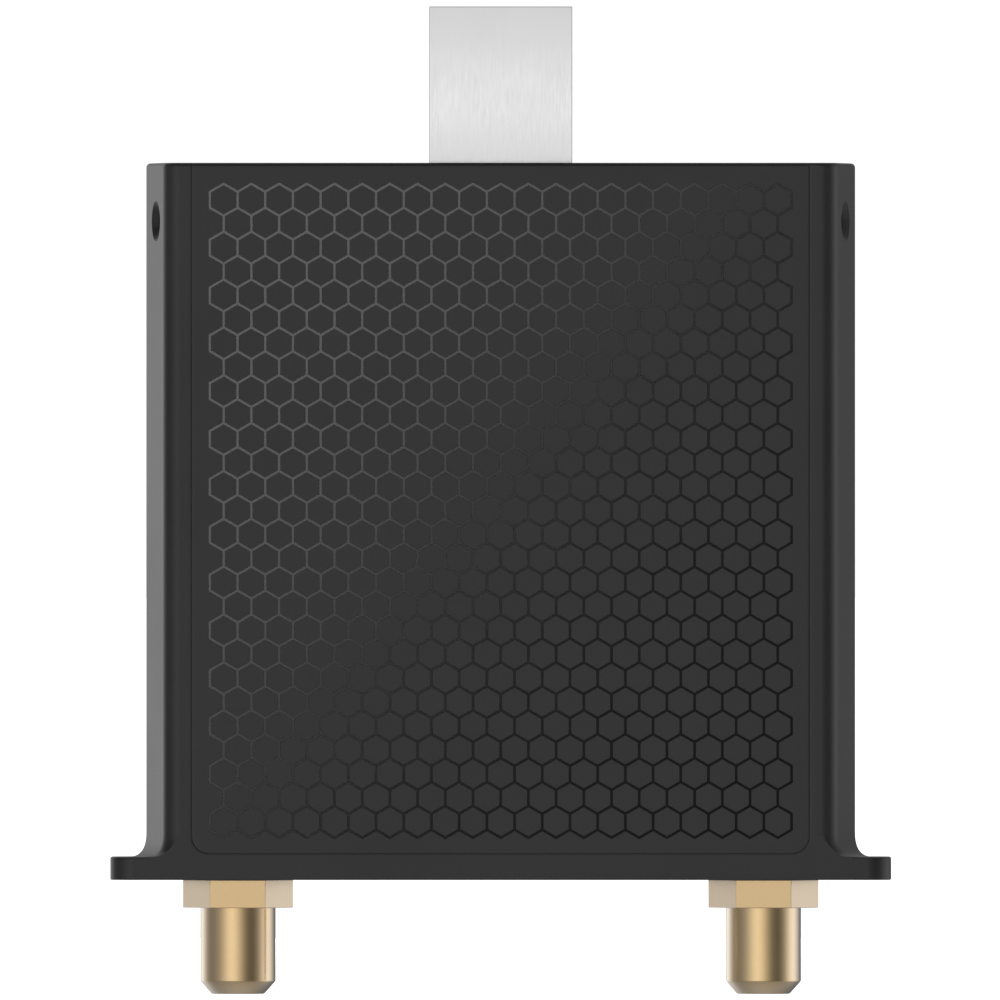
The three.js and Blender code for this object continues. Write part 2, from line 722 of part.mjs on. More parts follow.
// A hexagon nut with a flat towards the front.
function jackNut() {
  const cornerRadius = NUT_ACROSS_FLATS / 2 / Math.cos(Math.PI / HEXAGON);
  const corners = Array.from({ length: HEXAGON }, (_, i) => {
    const angle = (i * 2 * Math.PI) / HEXAGON;
    return new THREE.Vector2(cornerRadius * Math.cos(angle), cornerRadius * Math.sin(angle));
  });
  return cut(
    prismZ(new THREE.Shape(corners), -NUT_THICKNESS, 0),
    rodZ(NUT_BORE, 0, -NUT_THICKNESS - OVERRUN, OVERRUN),
  );
}

// ---- Assembly ----

function piece(name, shape, material, x = 0, y = 0, z = 0) {
  const mesh = new THREE.Mesh(geometryOf(shape), material);
  mesh.name = name;
  mesh.position.set(x, y, z);
  return mesh;
}

function jackGroup(side, x) {
  const group = new THREE.Group();
  group.position.x = x;
  group.add(
    piece(`antenna_jack_${side}`, jackBody(), MATERIALS.gold),
    piece(`jack_insulator_${side}`, jackInsulator(), MATERIALS.whiteSleeve),
    piece(`jack_socket_${side}`, jackSocket(), MATERIALS.contactGold),
    piece(`antenna_nut_${side}`, jackNut(), MATERIALS.gold),
  );
  return group;
}

function plugGroup() {
  const group = new THREE.Group();
  group.add(
    piece("usb_shell", plugShell(), MATERIALS.steel),
    piece("usb_insulator", plugInsulator(), MATERIALS.plugPlastic),
    ...CONTACTS.map(({ name, x, setback }) =>
      piece(`usb_contact_${name}`, plugContact(x, setback), MATERIALS.contactGold),
    ),
  );
  return group;
}

function boardGroup() {
  const group = new THREE.Group();
  group.add(
    piece("main_board", mainBoard(), MATERIALS.boardGreen),
    piece("radio_shield", radioShield(), MATERIALS.tinned, 0, BOARD_FRONT, SHIELD.z),
    piece("thermal_pad", thermalPad(), MATERIALS.padGrey, 0, 0, SHIELD.z),
  );
  for (const item of BOARD_PIECES) {
    const material = item.metal ? MATERIALS.tinned : MATERIALS.chipBlack;
    group.add(piece(item.name, boardPiece(item), material, item.x, BOARD_FRONT, item.z));
  }
  return group;
}

function screwGroup() {
  const group = new THREE.Group();
  atFour(BOSS_X, BOSS_HEIGHTS, (x, z) => ({ x, z })).forEach(({ x, z }, i) => {
    const screw = countersunkScrew(COVER_SCREW);
    group.add(piece(`cover_screw_${i + 1}`, screw, MATERIALS.blackScrew, x, BACK, z));
  });
  atFour(POST_X, POST_HEIGHTS, (x, z) => ({ x, z })).forEach(({ x, z }, i) => {
    const screw = panScrew(BOARD_SCREW);
    group.add(piece(`board_screw_${i + 1}`, screw, MATERIALS.zincScrew, x, BOARD_FRONT, z));
  });
  return group;
}

const cellularModule = new THREE.Group();
cellularModule.add(
  piece("housing", housing(), MATERIALS.blackMetal),
  piece("front_cover", frontCover(), MATERIALS.blackMetal),
  screwGroup(),
  boardGroup(),
  plugGroup(),
  jackGroup("left", -JACK_X),
  jackGroup("right", JACK_X),
);

export default cellularModule;
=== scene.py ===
"""The looks of a plug-in cellular module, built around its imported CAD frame.

Shapes are made in millimetres and become metres when a piece is finished. +X is to the right, +Y to
the back, +Z up, and the origin is the centre of the flange's outer face, as in the frame.
"""

import math

import bmesh
import bpy
from mathutils import Matrix, Vector

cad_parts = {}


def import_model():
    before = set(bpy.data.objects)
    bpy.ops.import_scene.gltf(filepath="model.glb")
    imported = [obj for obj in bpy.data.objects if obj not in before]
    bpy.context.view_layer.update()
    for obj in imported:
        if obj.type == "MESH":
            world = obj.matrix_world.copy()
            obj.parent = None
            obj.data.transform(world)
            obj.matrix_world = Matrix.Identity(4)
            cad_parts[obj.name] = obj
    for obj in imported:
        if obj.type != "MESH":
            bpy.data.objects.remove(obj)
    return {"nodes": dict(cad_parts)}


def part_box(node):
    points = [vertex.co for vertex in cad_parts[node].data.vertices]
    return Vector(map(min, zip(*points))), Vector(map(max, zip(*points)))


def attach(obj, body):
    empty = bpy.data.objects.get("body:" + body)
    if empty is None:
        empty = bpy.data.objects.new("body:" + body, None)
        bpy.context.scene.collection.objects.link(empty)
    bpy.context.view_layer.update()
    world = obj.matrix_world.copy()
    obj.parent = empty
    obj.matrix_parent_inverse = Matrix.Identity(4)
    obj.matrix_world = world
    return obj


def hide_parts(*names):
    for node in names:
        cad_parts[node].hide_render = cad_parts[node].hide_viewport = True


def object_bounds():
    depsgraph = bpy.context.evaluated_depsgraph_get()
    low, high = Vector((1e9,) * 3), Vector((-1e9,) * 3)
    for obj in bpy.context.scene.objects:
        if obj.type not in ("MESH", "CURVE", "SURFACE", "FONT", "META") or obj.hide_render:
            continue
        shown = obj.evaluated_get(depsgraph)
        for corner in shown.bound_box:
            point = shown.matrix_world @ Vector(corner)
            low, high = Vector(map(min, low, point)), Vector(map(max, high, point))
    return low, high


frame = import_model()
cad_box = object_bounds()

# ---- Sizes in millimetres: what the frame's boxes can't say ----

MM = 0.001
BODY_WIDTH = 59.4
SIDE_SLANT = math.radians(12)
FRONT_EDGE_RADIUS = 1.5
BACK_EDGE_RADIUS = 1.9
TOP_EDGE_RADIUS = 0.35
FLANGE_THICKNESS = 1.92
FLANGE_END_RADIUS = 2.0
FILLET_WIDTH = 1.45
FILLET_HEIGHT = 2.15
FILLET_POWER = 2.5
BROKEN_EDGE = 0.12
SEAM_EDGE = 0.2
SEAM_EDGE_DEPTH = 0.035
SLOT_EDGE = 0.07

BACK_WALL = 1.2
TOP_WALL = 1.7
BOTTOM_WALL = 4.0
CAVITY_WIDTH = 50.8
CAVITY_CORNER = 1.0

COVER_THICKNESS = 1.2
COVER_CORNER = 1.45
COVER_TOP_CORNER = 0.2
SEAM = 0.008
BOSS_RADIUS = 2.0
BOSS_BORE_RADIUS = 1.05
BOSS_BORE_DEPTH = 3.4

CELL_PITCH = 2.317
CELL_ROW_PITCH = 2.001
CELL_ROWS = 27
CELLS_IN_LONG_ROW = 21
CELL_LINE = 0.225
CELL_LINE_FLOOR = 0.2
CELL_LINE_DEPTH = 0.04
CELL_INLAY = 0.2
CELL_INLAY_SUNK = 0.01
PATTERN_TOP_MARGIN = 1.76

SIDE_HOLE_RADIUS = 1.4
SIDE_HOLE_MOUTH = 1.7
SIDE_HOLE_DEPTH = 3.0
SIDE_HOLE_Y = -1.0
SIDE_HOLE_FROM_TOP = 4.87
THREAD_PITCH = 0.5
THREAD_DEPTH = 0.2
THREAD_TURN = ((0.1, 1), (0.45, 0), (0.6, 0), (0.95, 1))  # shares of the pitch and of the depth

COVER_SCREW_SHANK = 1.0
COVER_SCREW_HEAD = 1.9
COVER_SCREW_HEAD_DEPTH = 1.0
COVER_SCREW_HEAD_LAND = 0.1
COVER_SCREW_HEAD_EDGE = ((0.02, 0.04), (0.08, 0))  # (inset, depth)
COVER_SCREW_NECK = 0.08
COVER_SCREW_TIP = 0.25
COVER_SCREW_TIP_INSET = 0.03
COVER_THREAD_START = 0.3
COVER_THREAD_PITCH = 0.4
COVER_THREAD = ((0, 0.12), (0.15, 0), (0.2, 0))  # (height, depth) over one turn
DRIVE_RADIUS = 0.6
DRIVE_DEPTH = 0.5
DRIVE_CONE = 0.35
HEXAGON = 6
BOARD_POST_RADIUS = 1.8
BOARD_POST_BORE = 0.9
BOARD_BACK = 1.5
BOARD_SCREW_REACH = 3.4
CLEARANCE = 0.1

PLUG_WIDTH = 12.0
PLUG_WALL = 0.3
PLUG_CORNER = 0.07
PLUG_INNER_CORNER = 0.05
PLUG_LIP = 0.08
PLUG_WINDOW_WIDTH = 2.5
PLUG_WINDOW_HEIGHT = 2.0
PLUG_WINDOW_X = 3.25
PLUG_WINDOW_FROM_END = 6.2
PLUG_WINDOW_CORNER = 0.25
PLUG_SEAM_WIDTH = 0.07
PLUG_EAR_THICKNESS = 0.3
PLUG_EAR_LOW = 51.0
PLUG_EAR_HIGH = 54.0
PLUG_EAR_CORNER = 0.2
BOARD_FRONT = 0.5

JACK_RADIUS = 3.15
JACK_END_RADIUS = 2.2
JACK_CHAMFER = 1.08
JACK_BORE = 2.05
JACK_BASE = 6.3
JACK_BASE_THICKNESS = 2.0
JACK_BASE_CORNER = 0.4
JACK_SEAT = 3.5
JACK_SHOULDER = JACK_SEAT + JACK_BASE_THICKNESS
JACK_EDGE = 0.06
JACK_LEG_WIDTH = 1.0
JACK_LEG_DEPTH = 0.95
JACK_LEG_CORNER = 0.1
JACK_SLEEVE_RADIUS = 2.0
JACK_SLEEVE_GAP = 0.05
JACK_SOCKET_RADIUS = 0.62
JACK_SOCKET_BORE = 0.47
JACK_SOCKET_DEPTH = 3.0
JACK_SOCKET_SLOT = 0.14
JACK_PIN_RADIUS = 0.4
NUT_BORE = 3.21
NUT_BORE_CHAMFER = 0.25
NUT_EDGE = 0.06
NUT_EDGE_STEPS = 3
SOFT_EDGE = 0.05

ROUND_STEPS = 96
SMALL_ROUND_STEPS = 48
CORNER_STEPS = 16
EDGE_STEPS = 4
OVERRUN = 1.0
WELD = 1e-4
SMOOTH_ANGLE = math.radians(32)

# Noise values lie mostly in this range.
NOISE_RANGE = (0.3, 0.7)

# Painted reflection: gold seen at a slant has its base colour mixed towards this pale colour, standing in
# for the whiter light it reflects there.
PAINTED_SLANT_SHEEN = (0.83, 0.78, 0.72, 1)

# The camera looks along +Y at the middle of the height it frames.
LENS = 1700.0
SENSOR_WIDTH = 36.0
CAMERA_REACH = 20000.0
VIEW_WIDTH = 83.64
VIEW_MIDDLE_X = -0.06
VIEW_MIDDLE_Z = 31.79

# The room's light. Azimuths are in degrees from the camera's side, positive to the right.
BACKDROP = 1.05
ROOM = 0.03
GLOWS = (  # azimuth, elevation, half width, radiance
    (-18, 0, 27, 0.93),
    (-72, 0, 27, 0.14),
    (102, 0, 26, 1.03),
    (-143, 0, 25, 1.03),
    (0, 90, 30, 0.1),
    (180, 55, 25, 0.7),
    (0, -90, 42, 0.36),
)
INLAY_LIGHT_DISTANCE = 150.0
INLAY_LIGHT_OFFSET = 6.7
INLAY_LIGHT_TILT = math.radians(38.5)
INLAY_LIGHT_SIZE = 170.0
INLAY_LIGHT_RADIANCE = 22.0
PLUG_LIGHT_Z = 66.0
PLUG_LIGHT_DISTANCE = 80.0
PLUG_LIGHT_SIZE = (60.0, 6.0)
PLUG_LIGHT_RADIANCE = 0.45
BACK_LIGHT_DISTANCE = 500.0
BACK_FILL_SIZE = (500.0, 500.0)
BACK_FILL_RADIANCE = 2.5
BACK_METAL_SIZE = (300.0, 500.0)
BACK_METAL_RADIANCE = 0.8
FLOOR_HALF_WIDTH = 40000.0
FLOOR_GAP = 0.01


def mm_box(node):
    """A CAD node's lowest and highest corner, in millimetres."""
    return [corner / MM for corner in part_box(node)]


HOUSING_LOW, HOUSING_HIGH = mm_box("housing")
FRONT = HOUSING_LOW.y
BACK = HOUSING_HIGH.y
BODY_TOP = HOUSING_HIGH.z
CAVITY_BACK = BACK - BACK_WALL
CAVITY_TOP = BODY_TOP - TOP_WALL
COVER_LOW, COVER_HIGH = mm_box("front_cover")
COVER_BACK = FRONT + COVER_THICKNESS


def middle_of(node):
    low, high = mm_box(node)
    return (low + high) / 2


# ---- Outlines: lists of points in a plane, counter-clockwise ----


def arc(centre, radius, start, end, steps=CORNER_STEPS):
    """Points from one angle to another on a circle, both ends included."""
    angles = (start + (end - start) * i / steps for i in range(steps + 1))
    return [Vector((centre.x + radius * math.cos(a), centre.y + radius * math.sin(a))) for a in angles]


def circle(radius, steps=ROUND_STEPS, centre=Vector((0, 0))):
    return arc(centre, radius, 0, 2 * math.pi, steps)[:-1]


def rounded(corners, steps=CORNER_STEPS):
    """An outline through convex corners (x, y, radius), each rounded by its radius."""
    outline = []
    for i, (x, y, radius) in enumerate(corners):
        corner = Vector((x, y))
        behind = (Vector(corners[i - 1][:2]) - corner).normalized()
        ahead = (Vector(corners[(i + 1) % len(corners)][:2]) - corner).normalized()
        half = behind.angle(ahead) / 2
        centre = corner + (behind + ahead).normalized() * (radius / math.sin(half))
        start = corner + behind * (radius / math.tan(half)) - centre
        first = math.atan2(start.y, start.x)
        outline += arc(centre, radius, first, first + math.pi - 2 * half, steps)
    return outline


def rectangle(width, height, radius, centre=Vector((0, 0)), steps=CORNER_STEPS):
    x = width / 2
    y = height / 2
    corners = [(-x, -y), (x, -y), (x, y), (-x, y)]
    return rounded([(centre.x + dx, centre.y + dy, radius) for dx, dy in corners], steps)


def edge_rounding(radius, steps=EDGE_STEPS):
    """(inset, depth) pairs over a quarter round, from the flat side's edge to the outer face."""
    angles = [math.pi / 2 * i / steps for i in range(steps + 1)]
    return [(radius * (1 - math.cos(a)), radius * (1 - math.sin(a))) for a in angles]


# ---- Solids ----


def loft(bm, sections, capped=True):
    """A skin through closed rings of points that all have the same number of points."""
    rings = [[bm.verts.new(point) for point in section] for section in sections]
    for lower, upper in zip(rings, rings[1:]):
        for i in range(len(lower)):
            bm.faces.new((lower[i - 1], lower[i], upper[i], upper[i - 1]))
    if capped:
        bm.faces.new(rings[0])
        bm.faces.new(rings[-1])
    return rings


def turned(bm, profile, steps=ROUND_STEPS, closed=False):
    """A profile of (radius, height) points turned about Z; one on the axis is a single point."""
    rings = []
    for radius, height in profile:
        if radius == 0:
            rings.append([bm.verts.new((0, 0, height))] * steps)
        else:
            rings.append([bm.verts.new((*point, height)) for point in circle(radius, steps)])
    pairs = list(zip(rings, rings[1:]))
    if closed:
        pairs.append((rings[-1], rings[0]))
    for lower, upper in pairs:
        for i in range(steps):
            corners = (lower[i - 1], lower[i], upper[i], upper[i - 1])
            bm.faces.new(dict.fromkeys(corners))
    return rings


def made(name, bm):
    """A bmesh as an object, welded, with its faces turned outwards."""
    bmesh.ops.remove_doubles(bm, verts=bm.verts, dist=WELD)
    bmesh.ops.recalc_face_normals(bm, faces=bm.faces)
    mesh = bpy.data.meshes.new(name)
    bm.to_mesh(mesh)
    bm.free()
    obj = bpy.data.objects.new(name, mesh)
    bpy.context.scene.collection.objects.link(obj)
    return obj


def prism(outlines, axis="Z"):
    """A solid through (outline, height) pairs along Z, or (outline, y) pairs of front outlines."""
    bm = bmesh.new()
    if axis == "Z":
        sections = [[(p.x, p.y, height) for p in outline] for outline, height in outlines]
    else:
        sections = [[(p.x, height, p.y) for p in outline] for outline, height in outlines]
    loft(bm, sections)
    return made("prism", bm)


def lathe(profile, steps=ROUND_STEPS, closed=False, place=Matrix()):
    bm = bmesh.new()
    turned(bm, profile, steps, closed)
    bm.transform(place)
    return made("lathe", bm)


def along_y(x, z):
    """Turns a solid made along Z so that its axis runs to the back, through (x, z)."""
    return Matrix.Translation((x, 0, z)) @ Matrix.Rotation(-math.pi / 2, 4, "X")


def combined(base, operation, tools):
    """base with the tools joined to it or cut from it. The tools are used up."""
    for tool in tools:
        modifier = base.modifiers.new("combine", "BOOLEAN")
        modifier.operation = operation
        modifier.solver = "EXACT"
        modifier.object = tool
    shown = base.evaluated_get(bpy.context.evaluated_depsgraph_get())
    mesh = bpy.data.meshes.new_from_object(shown)
    base.modifiers.clear()
    base.data = mesh
    for tool in tools:
        bpy.data.objects.remove(tool)
    return base


def joined(base, *tools):
    return combined(base, "UNION", tools)


def cut(base, *tools):
    return combined(base, "DIFFERENCE", tools)


def smooth(obj):
    """Smooth shading, with flat faces kept flat and real edges kept crisp."""
    obj.data.shade_smooth()
    obj.data.set_sharp_from_angle(angle=SMOOTH_ANGLE)
    modifier = obj.modifiers.new("weighted normals", "WEIGHTED_NORMAL")
    modifier.keep_sharp = True


def finish_piece(obj, name, slot, materials, *nodes):
    """Brings a piece into the frame: in metres, named, painted, and standing for its CAD nodes."""
    obj.name = name
    obj.data.name = name
    obj.data.transform(Matrix.Scale(MM, 4))
    obj.data.materials.clear()
    for material in materials:
        obj.data.materials.append(material)
    smooth(obj)
    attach(obj, "root")
    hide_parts(*nodes)
    return obj


# ---- Materials ----


class Nodes:
    """Short calls for the nodes of one node tree."""

    def __init__(self, tree):
        self.tree = tree

    def node(self, kind, inputs=(), **settings):
        node = self.tree.nodes.new(kind)
        for key, value in settings.items():
            setattr(node, key, value)
        for key, value in dict(inputs).items():
            if isinstance(value, bpy.types.NodeSocket):
                self.tree.links.new(value, node.inputs[key])
            else:
                node.inputs[key].default_value = value
        return node

    def between(self, value, low, high, start=0.0, end=1.0):
        """value mapped from low..high to start..end."""
        inputs = {"Value": value, "From Min": low, "From Max": high, "To Min": start, "To Max": end}
        return self.node("ShaderNodeMapRange", inputs).outputs[0]

    def blend(self, factor, first, second):
        node = self.node("ShaderNodeMix", data_type="RGBA")
        for key, value in ((0, factor), (6, first), (7, second)):
            if isinstance(value, bpy.types.NodeSocket):
                self.tree.links.new(value, node.inputs[key])
            else:
                node.inputs[key].default_value = value
        return node.outputs[2]

    def math(self, operation, *values):
        return self.node("ShaderNodeMath", enumerate(values), operation=operation).outputs[0]


class Look(Nodes):
    """A Principled material, with short calls for what it is made from."""

    def __init__(self, name, specular=0.5, metallic=0.0):
        self.material = bpy.data.materials.new(name)
        self.material.use_nodes = True
        super().__init__(self.material.node_tree)
        self.shader = self.tree.nodes["Principled BSDF"]
        self.constant("Specular IOR Level", specular)
        self.constant("Metallic", metallic)

    def constant(self, socket, value):
        self.shader.inputs[socket].default_value = value

    def place(self, stretch=(1, 1, 1)):
        """Positions in the object's own frame, in millimetres, stretched along each axis."""
        coordinates = self.node("ShaderNodeTexCoord").outputs["Object"]
        scale = tuple(s / MM for s in stretch)
        return self.node("ShaderNodeMapping", {"Vector": coordinates, "Scale": scale}).outputs[0]

    def noise(self, scale, detail=2.0, stretch=(1, 1, 1)):
        """Noise with so many lumps to the millimetre."""
        inputs = {"Vector": self.place(stretch), "Scale": scale, "Detail": detail}
        return self.node("ShaderNodeTexNoise", inputs).outputs[0]

    def spread(self, noise, start=0.0, end=1.0):
        """Noise stretched over start..end."""
        return self.between(noise, *NOISE_RANGE, start, end)

    def set(self, socket, value):
        self.tree.links.new(value, self.shader.inputs[socket])

    def bump(self, height, depth):
        """Bumps of a depth in millimetres where height runs from 0 to 1."""
        inputs = {"Height": height, "Strength": 1.0, "Distance": depth * MM}
        self.set("Normal", self.node("ShaderNodeBump", inputs).outputs[0])


def grey(value, warmth=0.0):
    return (value * (1 + warmth), value, value * (1 - warmth), 1.0)


def black_metal():
    """Bead-blasted, black anodised aluminium: fine grain, faint handling marks."""
    look = Look("black_metal")
    grain = look.noise(7.0, 3.0)
    cloud = look.noise(0.12, 4.0)
    tone = look.math("ADD", look.spread(grain, 0.0, 0.6), look.spread(cloud, 0.0, 0.4))
    look.set("Base Color", look.blend(tone, grey(0.011), grey(0.018)))
    look.set("Roughness", look.between(tone, 0.0, 1.0, 0.33, 0.39))
    look.bump(grain, 0.006)
    return look.material


def black_gloss():
    """The smooth lacquer of the honeycomb's lines."""
    look = Look("black_gloss", specular=0.06)
    film = look.noise(0.5, 2.0)
    look.set("Base Color", look.blend(film, grey(0.004), grey(0.006)))
    look.set("Roughness", look.spread(film, 0.2, 0.22))
    look.bump(film, 0.0005)
    return look.material


def black_screw():
    """Blackened steel under a thin film of oil."""
    look = Look("black_screw", specular=0.8)
    grain = look.noise(5.0, 3.0)
    look.set("Base Color", look.blend(grain, grey(0.018), grey(0.03)))
    look.set("Roughness", look.spread(grain, 0.3, 0.42))
    look.bump(grain, 0.003)
    return look.material


def brushed(name, colour, darker, roughness, stretch, grain_scale=3.0, relief=0.0006, painted_sheen=None):
    """Metal with a fine drawn or turned grain along the directions that aren't stretched.

    Given a colour to slant towards, the base colour is mixed towards it where the metal is seen at a
    slant: a painted reflection of paler light, not a colour of the metal.
    """
    look = Look(name, metallic=1.0)
    grain = look.noise(grain_scale, 3.0, stretch)
    cloud = look.noise(0.35, 3.0)
    gloss = look.blend(look.spread(cloud), darker, colour)
    if painted_sheen:
        # Painted reflection: paler base colour where the surface is seen at a slant.
        slant = look.node("ShaderNodeLayerWeight", {"Blend": 0.5}).outputs["Facing"]
        gloss = look.blend(slant, gloss, painted_sheen)
    look.set("Base Color", gloss)
    streaks = look.spread(grain, -0.03, 0.03)
    patches = look.spread(cloud, roughness - 0.02, roughness + 0.02)
    look.set("Roughness", look.math("ADD", streaks, patches))
    look.bump(grain, relief)
    return look.material


def plug_steel():
    return brushed("plug_steel", grey(0.87), grey(0.84), 0.2, (6, 6, 0.3), relief=0.0002)


def jack_gold():
    colours = (0.88, 0.64, 0.34, 1), (0.85, 0.61, 0.32, 1)
    # Its slanting faces get a painted reflection, paler than the gold.
    return brushed("jack_gold", *colours, 0.2, (0.4, 0.4, 7), painted_sheen=PAINTED_SLANT_SHEEN)


def nut_gold():
    colours = (0.91, 0.66, 0.36, 1), (0.88, 0.63, 0.34, 1)
    # Its slanting faces get a painted reflection, paler than the gold.
    return brushed("nut_gold", *colours, 0.22, (0.6, 0.6, 5), painted_sheen=PAINTED_SLANT_SHEEN)


def contact_gold():
    return brushed("contact_gold", (0.90, 0.64, 0.27, 1), (0.84, 0.58, 0.23, 1), 0.22, (4, 4, 0.4))


def tinned():
    return brushed("shield_tin", grey(0.70), grey(0.62), 0.33, (1, 1, 1), 2.0)


def zinc():
    return brushed("zinc_screw", grey(0.58, 0.02), grey(0.5, 0.02), 0.35, (1, 1, 1), 3.0)


def white_sleeve():
    look = Look("white_sleeve")
    look.constant("Subsurface Weight", 0.15)
    look.constant("Subsurface Radius", (0.0008, 0.0007, 0.0006))
    grain = look.noise(3.0, 3.0, (1, 1, 4))
    look.set("Base Color", look.blend(grain, grey(0.72, 0.02), grey(0.82, 0.015)))
    look.set("Roughness", look.spread(grain, 0.42, 0.55))
    look.bump(grain, 0.004)
    return look.material


def moulded(name, light, dark, roughness):
    """Moulded plastic, epoxy or rubber with a fine spark-eroded grain."""
    look = Look(name)
    grain = look.noise(9.0, 3.0)
    cloud = look.noise(0.6, 3.0)
    look.set("Base Color", look.blend(cloud, dark, light))
    look.set("Roughness", look.spread(grain, roughness - 0.06, roughness + 0.06))
    look.bump(grain, 0.005)
    return look.material


def board_green():
    """Solder mask over copper: traces show as lighter runs under the green film."""
    look = Look("board_green")
    cells = look.node(
        "ShaderNodeTexVoronoi",
        {"Vector": look.place(), "Scale": 0.55},
        feature="DISTANCE_TO_EDGE",
        distance="CHEBYCHEV",
    ).outputs["Distance"]
    trace = look.between(cells, 0.05, 0.09)
    look.set("Base Color", look.blend(trace, (0.03, 0.20, 0.07, 1), (0.012, 0.10, 0.035, 1)))
    look.set("Roughness", look.spread(look.noise(4.0), 0.28, 0.4))
    look.bump(trace, 0.02)
    return look.material


def pale_floor():
    """A lit white floor without a visible edge."""
    look = Look("pale_floor")
    cloud = look.noise(0.01, 2.0)
    look.set("Base Color", look.blend(cloud, grey(0.86), grey(0.88)))
    look.constant("Emission Color", grey(1.0))
    look.constant("Emission Strength", 1.0)
    return look.material


# ---- Housing ----


def side_centre(radius, inner_y):
    """The centre of a rounded edge of that radius on the right side, at depth inner_y."""
    touch_x = BODY_WIDTH / 2 - BACK_EDGE_RADIUS * (1 - math.cos(SIDE_SLANT))
    touch_y = BACK - BACK_EDGE_RADIUS * (1 + math.sin(SIDE_SLANT))
    side_x = touch_x + (inner_y - touch_y) * math.tan(SIDE_SLANT)
    return Vector((side_x - radius / math.cos(SIDE_SLANT), inner_y))


FRONT_CENTRE = side_centre(FRONT_EDGE_RADIUS, FRONT + FRONT_EDGE_RADIUS)
BACK_CENTRE = side_centre(BACK_EDGE_RADIUS, BACK - BACK_EDGE_RADIUS)


def side_x(y):
    """Half the body's width on its slanted side, at depth y."""
    return side_centre(0, y).x


def body_outline(grow):
    """The body's plan, grown outwards and kept between the front and back planes."""
    front_radius = FRONT_EDGE_RADIUS + grow
    back_radius = BACK_EDGE_RADIUS + grow
    front_start = -math.asin(min(1, FRONT_EDGE_RADIUS / front_radius))
    back_end = math.asin(min(1, BACK_EDGE_RADIUS / back_radius))
    right = arc(FRONT_CENTRE, front_radius, front_start, -SIDE_SLANT)
    right += arc(BACK_CENTRE, back_radius, -SIDE_SLANT, back_end)
    left = [Vector((-p.x, p.y)) for p in reversed(right)]
    return right + left


def body_solid():
    """The slanted body, from inside the flange up over its fillet to the rounded top edge."""
    bend = 2 / FILLET_POWER
    quarter = [math.pi / 2 * i / CORNER_STEPS for i in range(CORNER_STEPS + 1)]
    fillet = [
        (
            FILLET_WIDTH * (1 - math.sin(a) ** bend),
            FLANGE_THICKNESS + FILLET_HEIGHT * (1 - max(0.0, math.cos(a)) ** bend),
        )
        for a in quarter
    ]
    top = [(-inset, BODY_TOP - depth) for inset, depth in edge_rounding(TOP_EDGE_RADIUS)]
    levels = [(FILLET_WIDTH, FLANGE_THICKNESS / 2), *fillet, *top]
    return prism([(body_outline(grow), height) for grow, height in levels])


def flange_solid():
    levels = [(inset, depth) for inset, depth in reversed(edge_rounding(BROKEN_EDGE))]
    levels += [(inset, FLANGE_THICKNESS - depth) for inset, depth in edge_rounding(BROKEN_EDGE)]
    size = HOUSING_HIGH - HOUSING_LOW
    return prism(
        [
            (rectangle(size.x - 2 * inset, size.y - 2 * inset, FLANGE_END_RADIUS - inset), height)
            for inset, height in levels
        ]
    )


def recess_outline(grow):
    """The cover's recess, open past the top of the body."""
    half = COVER_HIGH.x + SEAM + grow
    low = COVER_LOW.z - SEAM - grow
    high = BODY_TOP + OVERRUN
    corner = COVER_CORNER + SEAM + grow
    return rounded([(-half, low, corner), (half, low, corner), (half, high, SEAM), (-half, high, SEAM)])


def mouthed(outline_at, inner, face, edge, outward, axis, flatness=1.0):
    """A cutter from inner to a face, where its mouth is rounded, and on past the face.

    The rounding is edge wide, and as deep as that times its flatness.
    """
    levels = [(outline_at(0), inner)]
    for inset, depth in edge_rounding(edge):
        levels.append((outline_at(inset), face - outward * depth * flatness))
    levels.append((outline_at(edge), face + outward * OVERRUN))
    return prism(levels, axis)


def recess_cutter():
    flatness = SEAM_EDGE_DEPTH / SEAM_EDGE
    return mouthed(recess_outline, COVER_BACK, FRONT, SEAM_EDGE, -1, "Y", flatness)


def cavity_cutter():
    centre = Vector((0, (CAVITY_TOP + BOTTOM_WALL) / 2))
    outline = rectangle(CAVITY_WIDTH, CAVITY_TOP - BOTTOM_WALL, CAVITY_CORNER, centre)
    return prism([(outline, COVER_BACK - OVERRUN), (outline, CAVITY_BACK)], "Y")


def plug_outline(inset):
    depth = 2 * mm_box("usb_shell")[1].y
    corner = max(PLUG_CORNER - inset, PLUG_INNER_CORNER)
    return rectangle(PLUG_WIDTH - 2 * inset, depth - 2 * inset, corner)


def plug_slot_cutter():
    def slot_outline(grow):
        return plug_outline(-CLEARANCE / 2 - grow)

    inner = CAVITY_TOP - OVERRUN
    return mouthed(slot_outline, inner, BODY_TOP, SLOT_EDGE, 1, "Z")


def threaded(radius, depth, mouth):
    """A blind tapped hole's profile below z = 0: thread rings, and a countersunk mouth."""
    mouth_depth = mouth - radius
    profile = [(0, -depth), (radius - THREAD_DEPTH, -depth)]
    turns = int((depth - mouth_depth) / THREAD_PITCH)
    for i in range(turns):
        profile += [
            (radius - inward * THREAD_DEPTH, -depth + (i + along) * THREAD_PITCH)
            for along, inward in THREAD_TURN
        ]
    return profile + [(radius, -mouth_depth), (mouth, 0), (mouth, OVERRUN), (0, OVERRUN)]


def side_hole_cutter(side):
    """side is 1 for the right and -1 for the left."""
    slant = side * (math.pi / 2 - SIDE_SLANT)
    outward = Matrix.Rotation(side * math.pi / 2, 4, "Y")
    turn = Matrix.Rotation(slant - side * math.pi / 2, 4, "Z")
    place = Matrix.Translation((side * side_x(SIDE_HOLE_Y), SIDE_HOLE_Y, BODY_TOP - SIDE_HOLE_FROM_TOP))
    profile = threaded(SIDE_HOLE_RADIUS, SIDE_HOLE_DEPTH, SIDE_HOLE_MOUTH)
    return lathe(profile, SMALL_ROUND_STEPS, place=place @ turn @ outward)


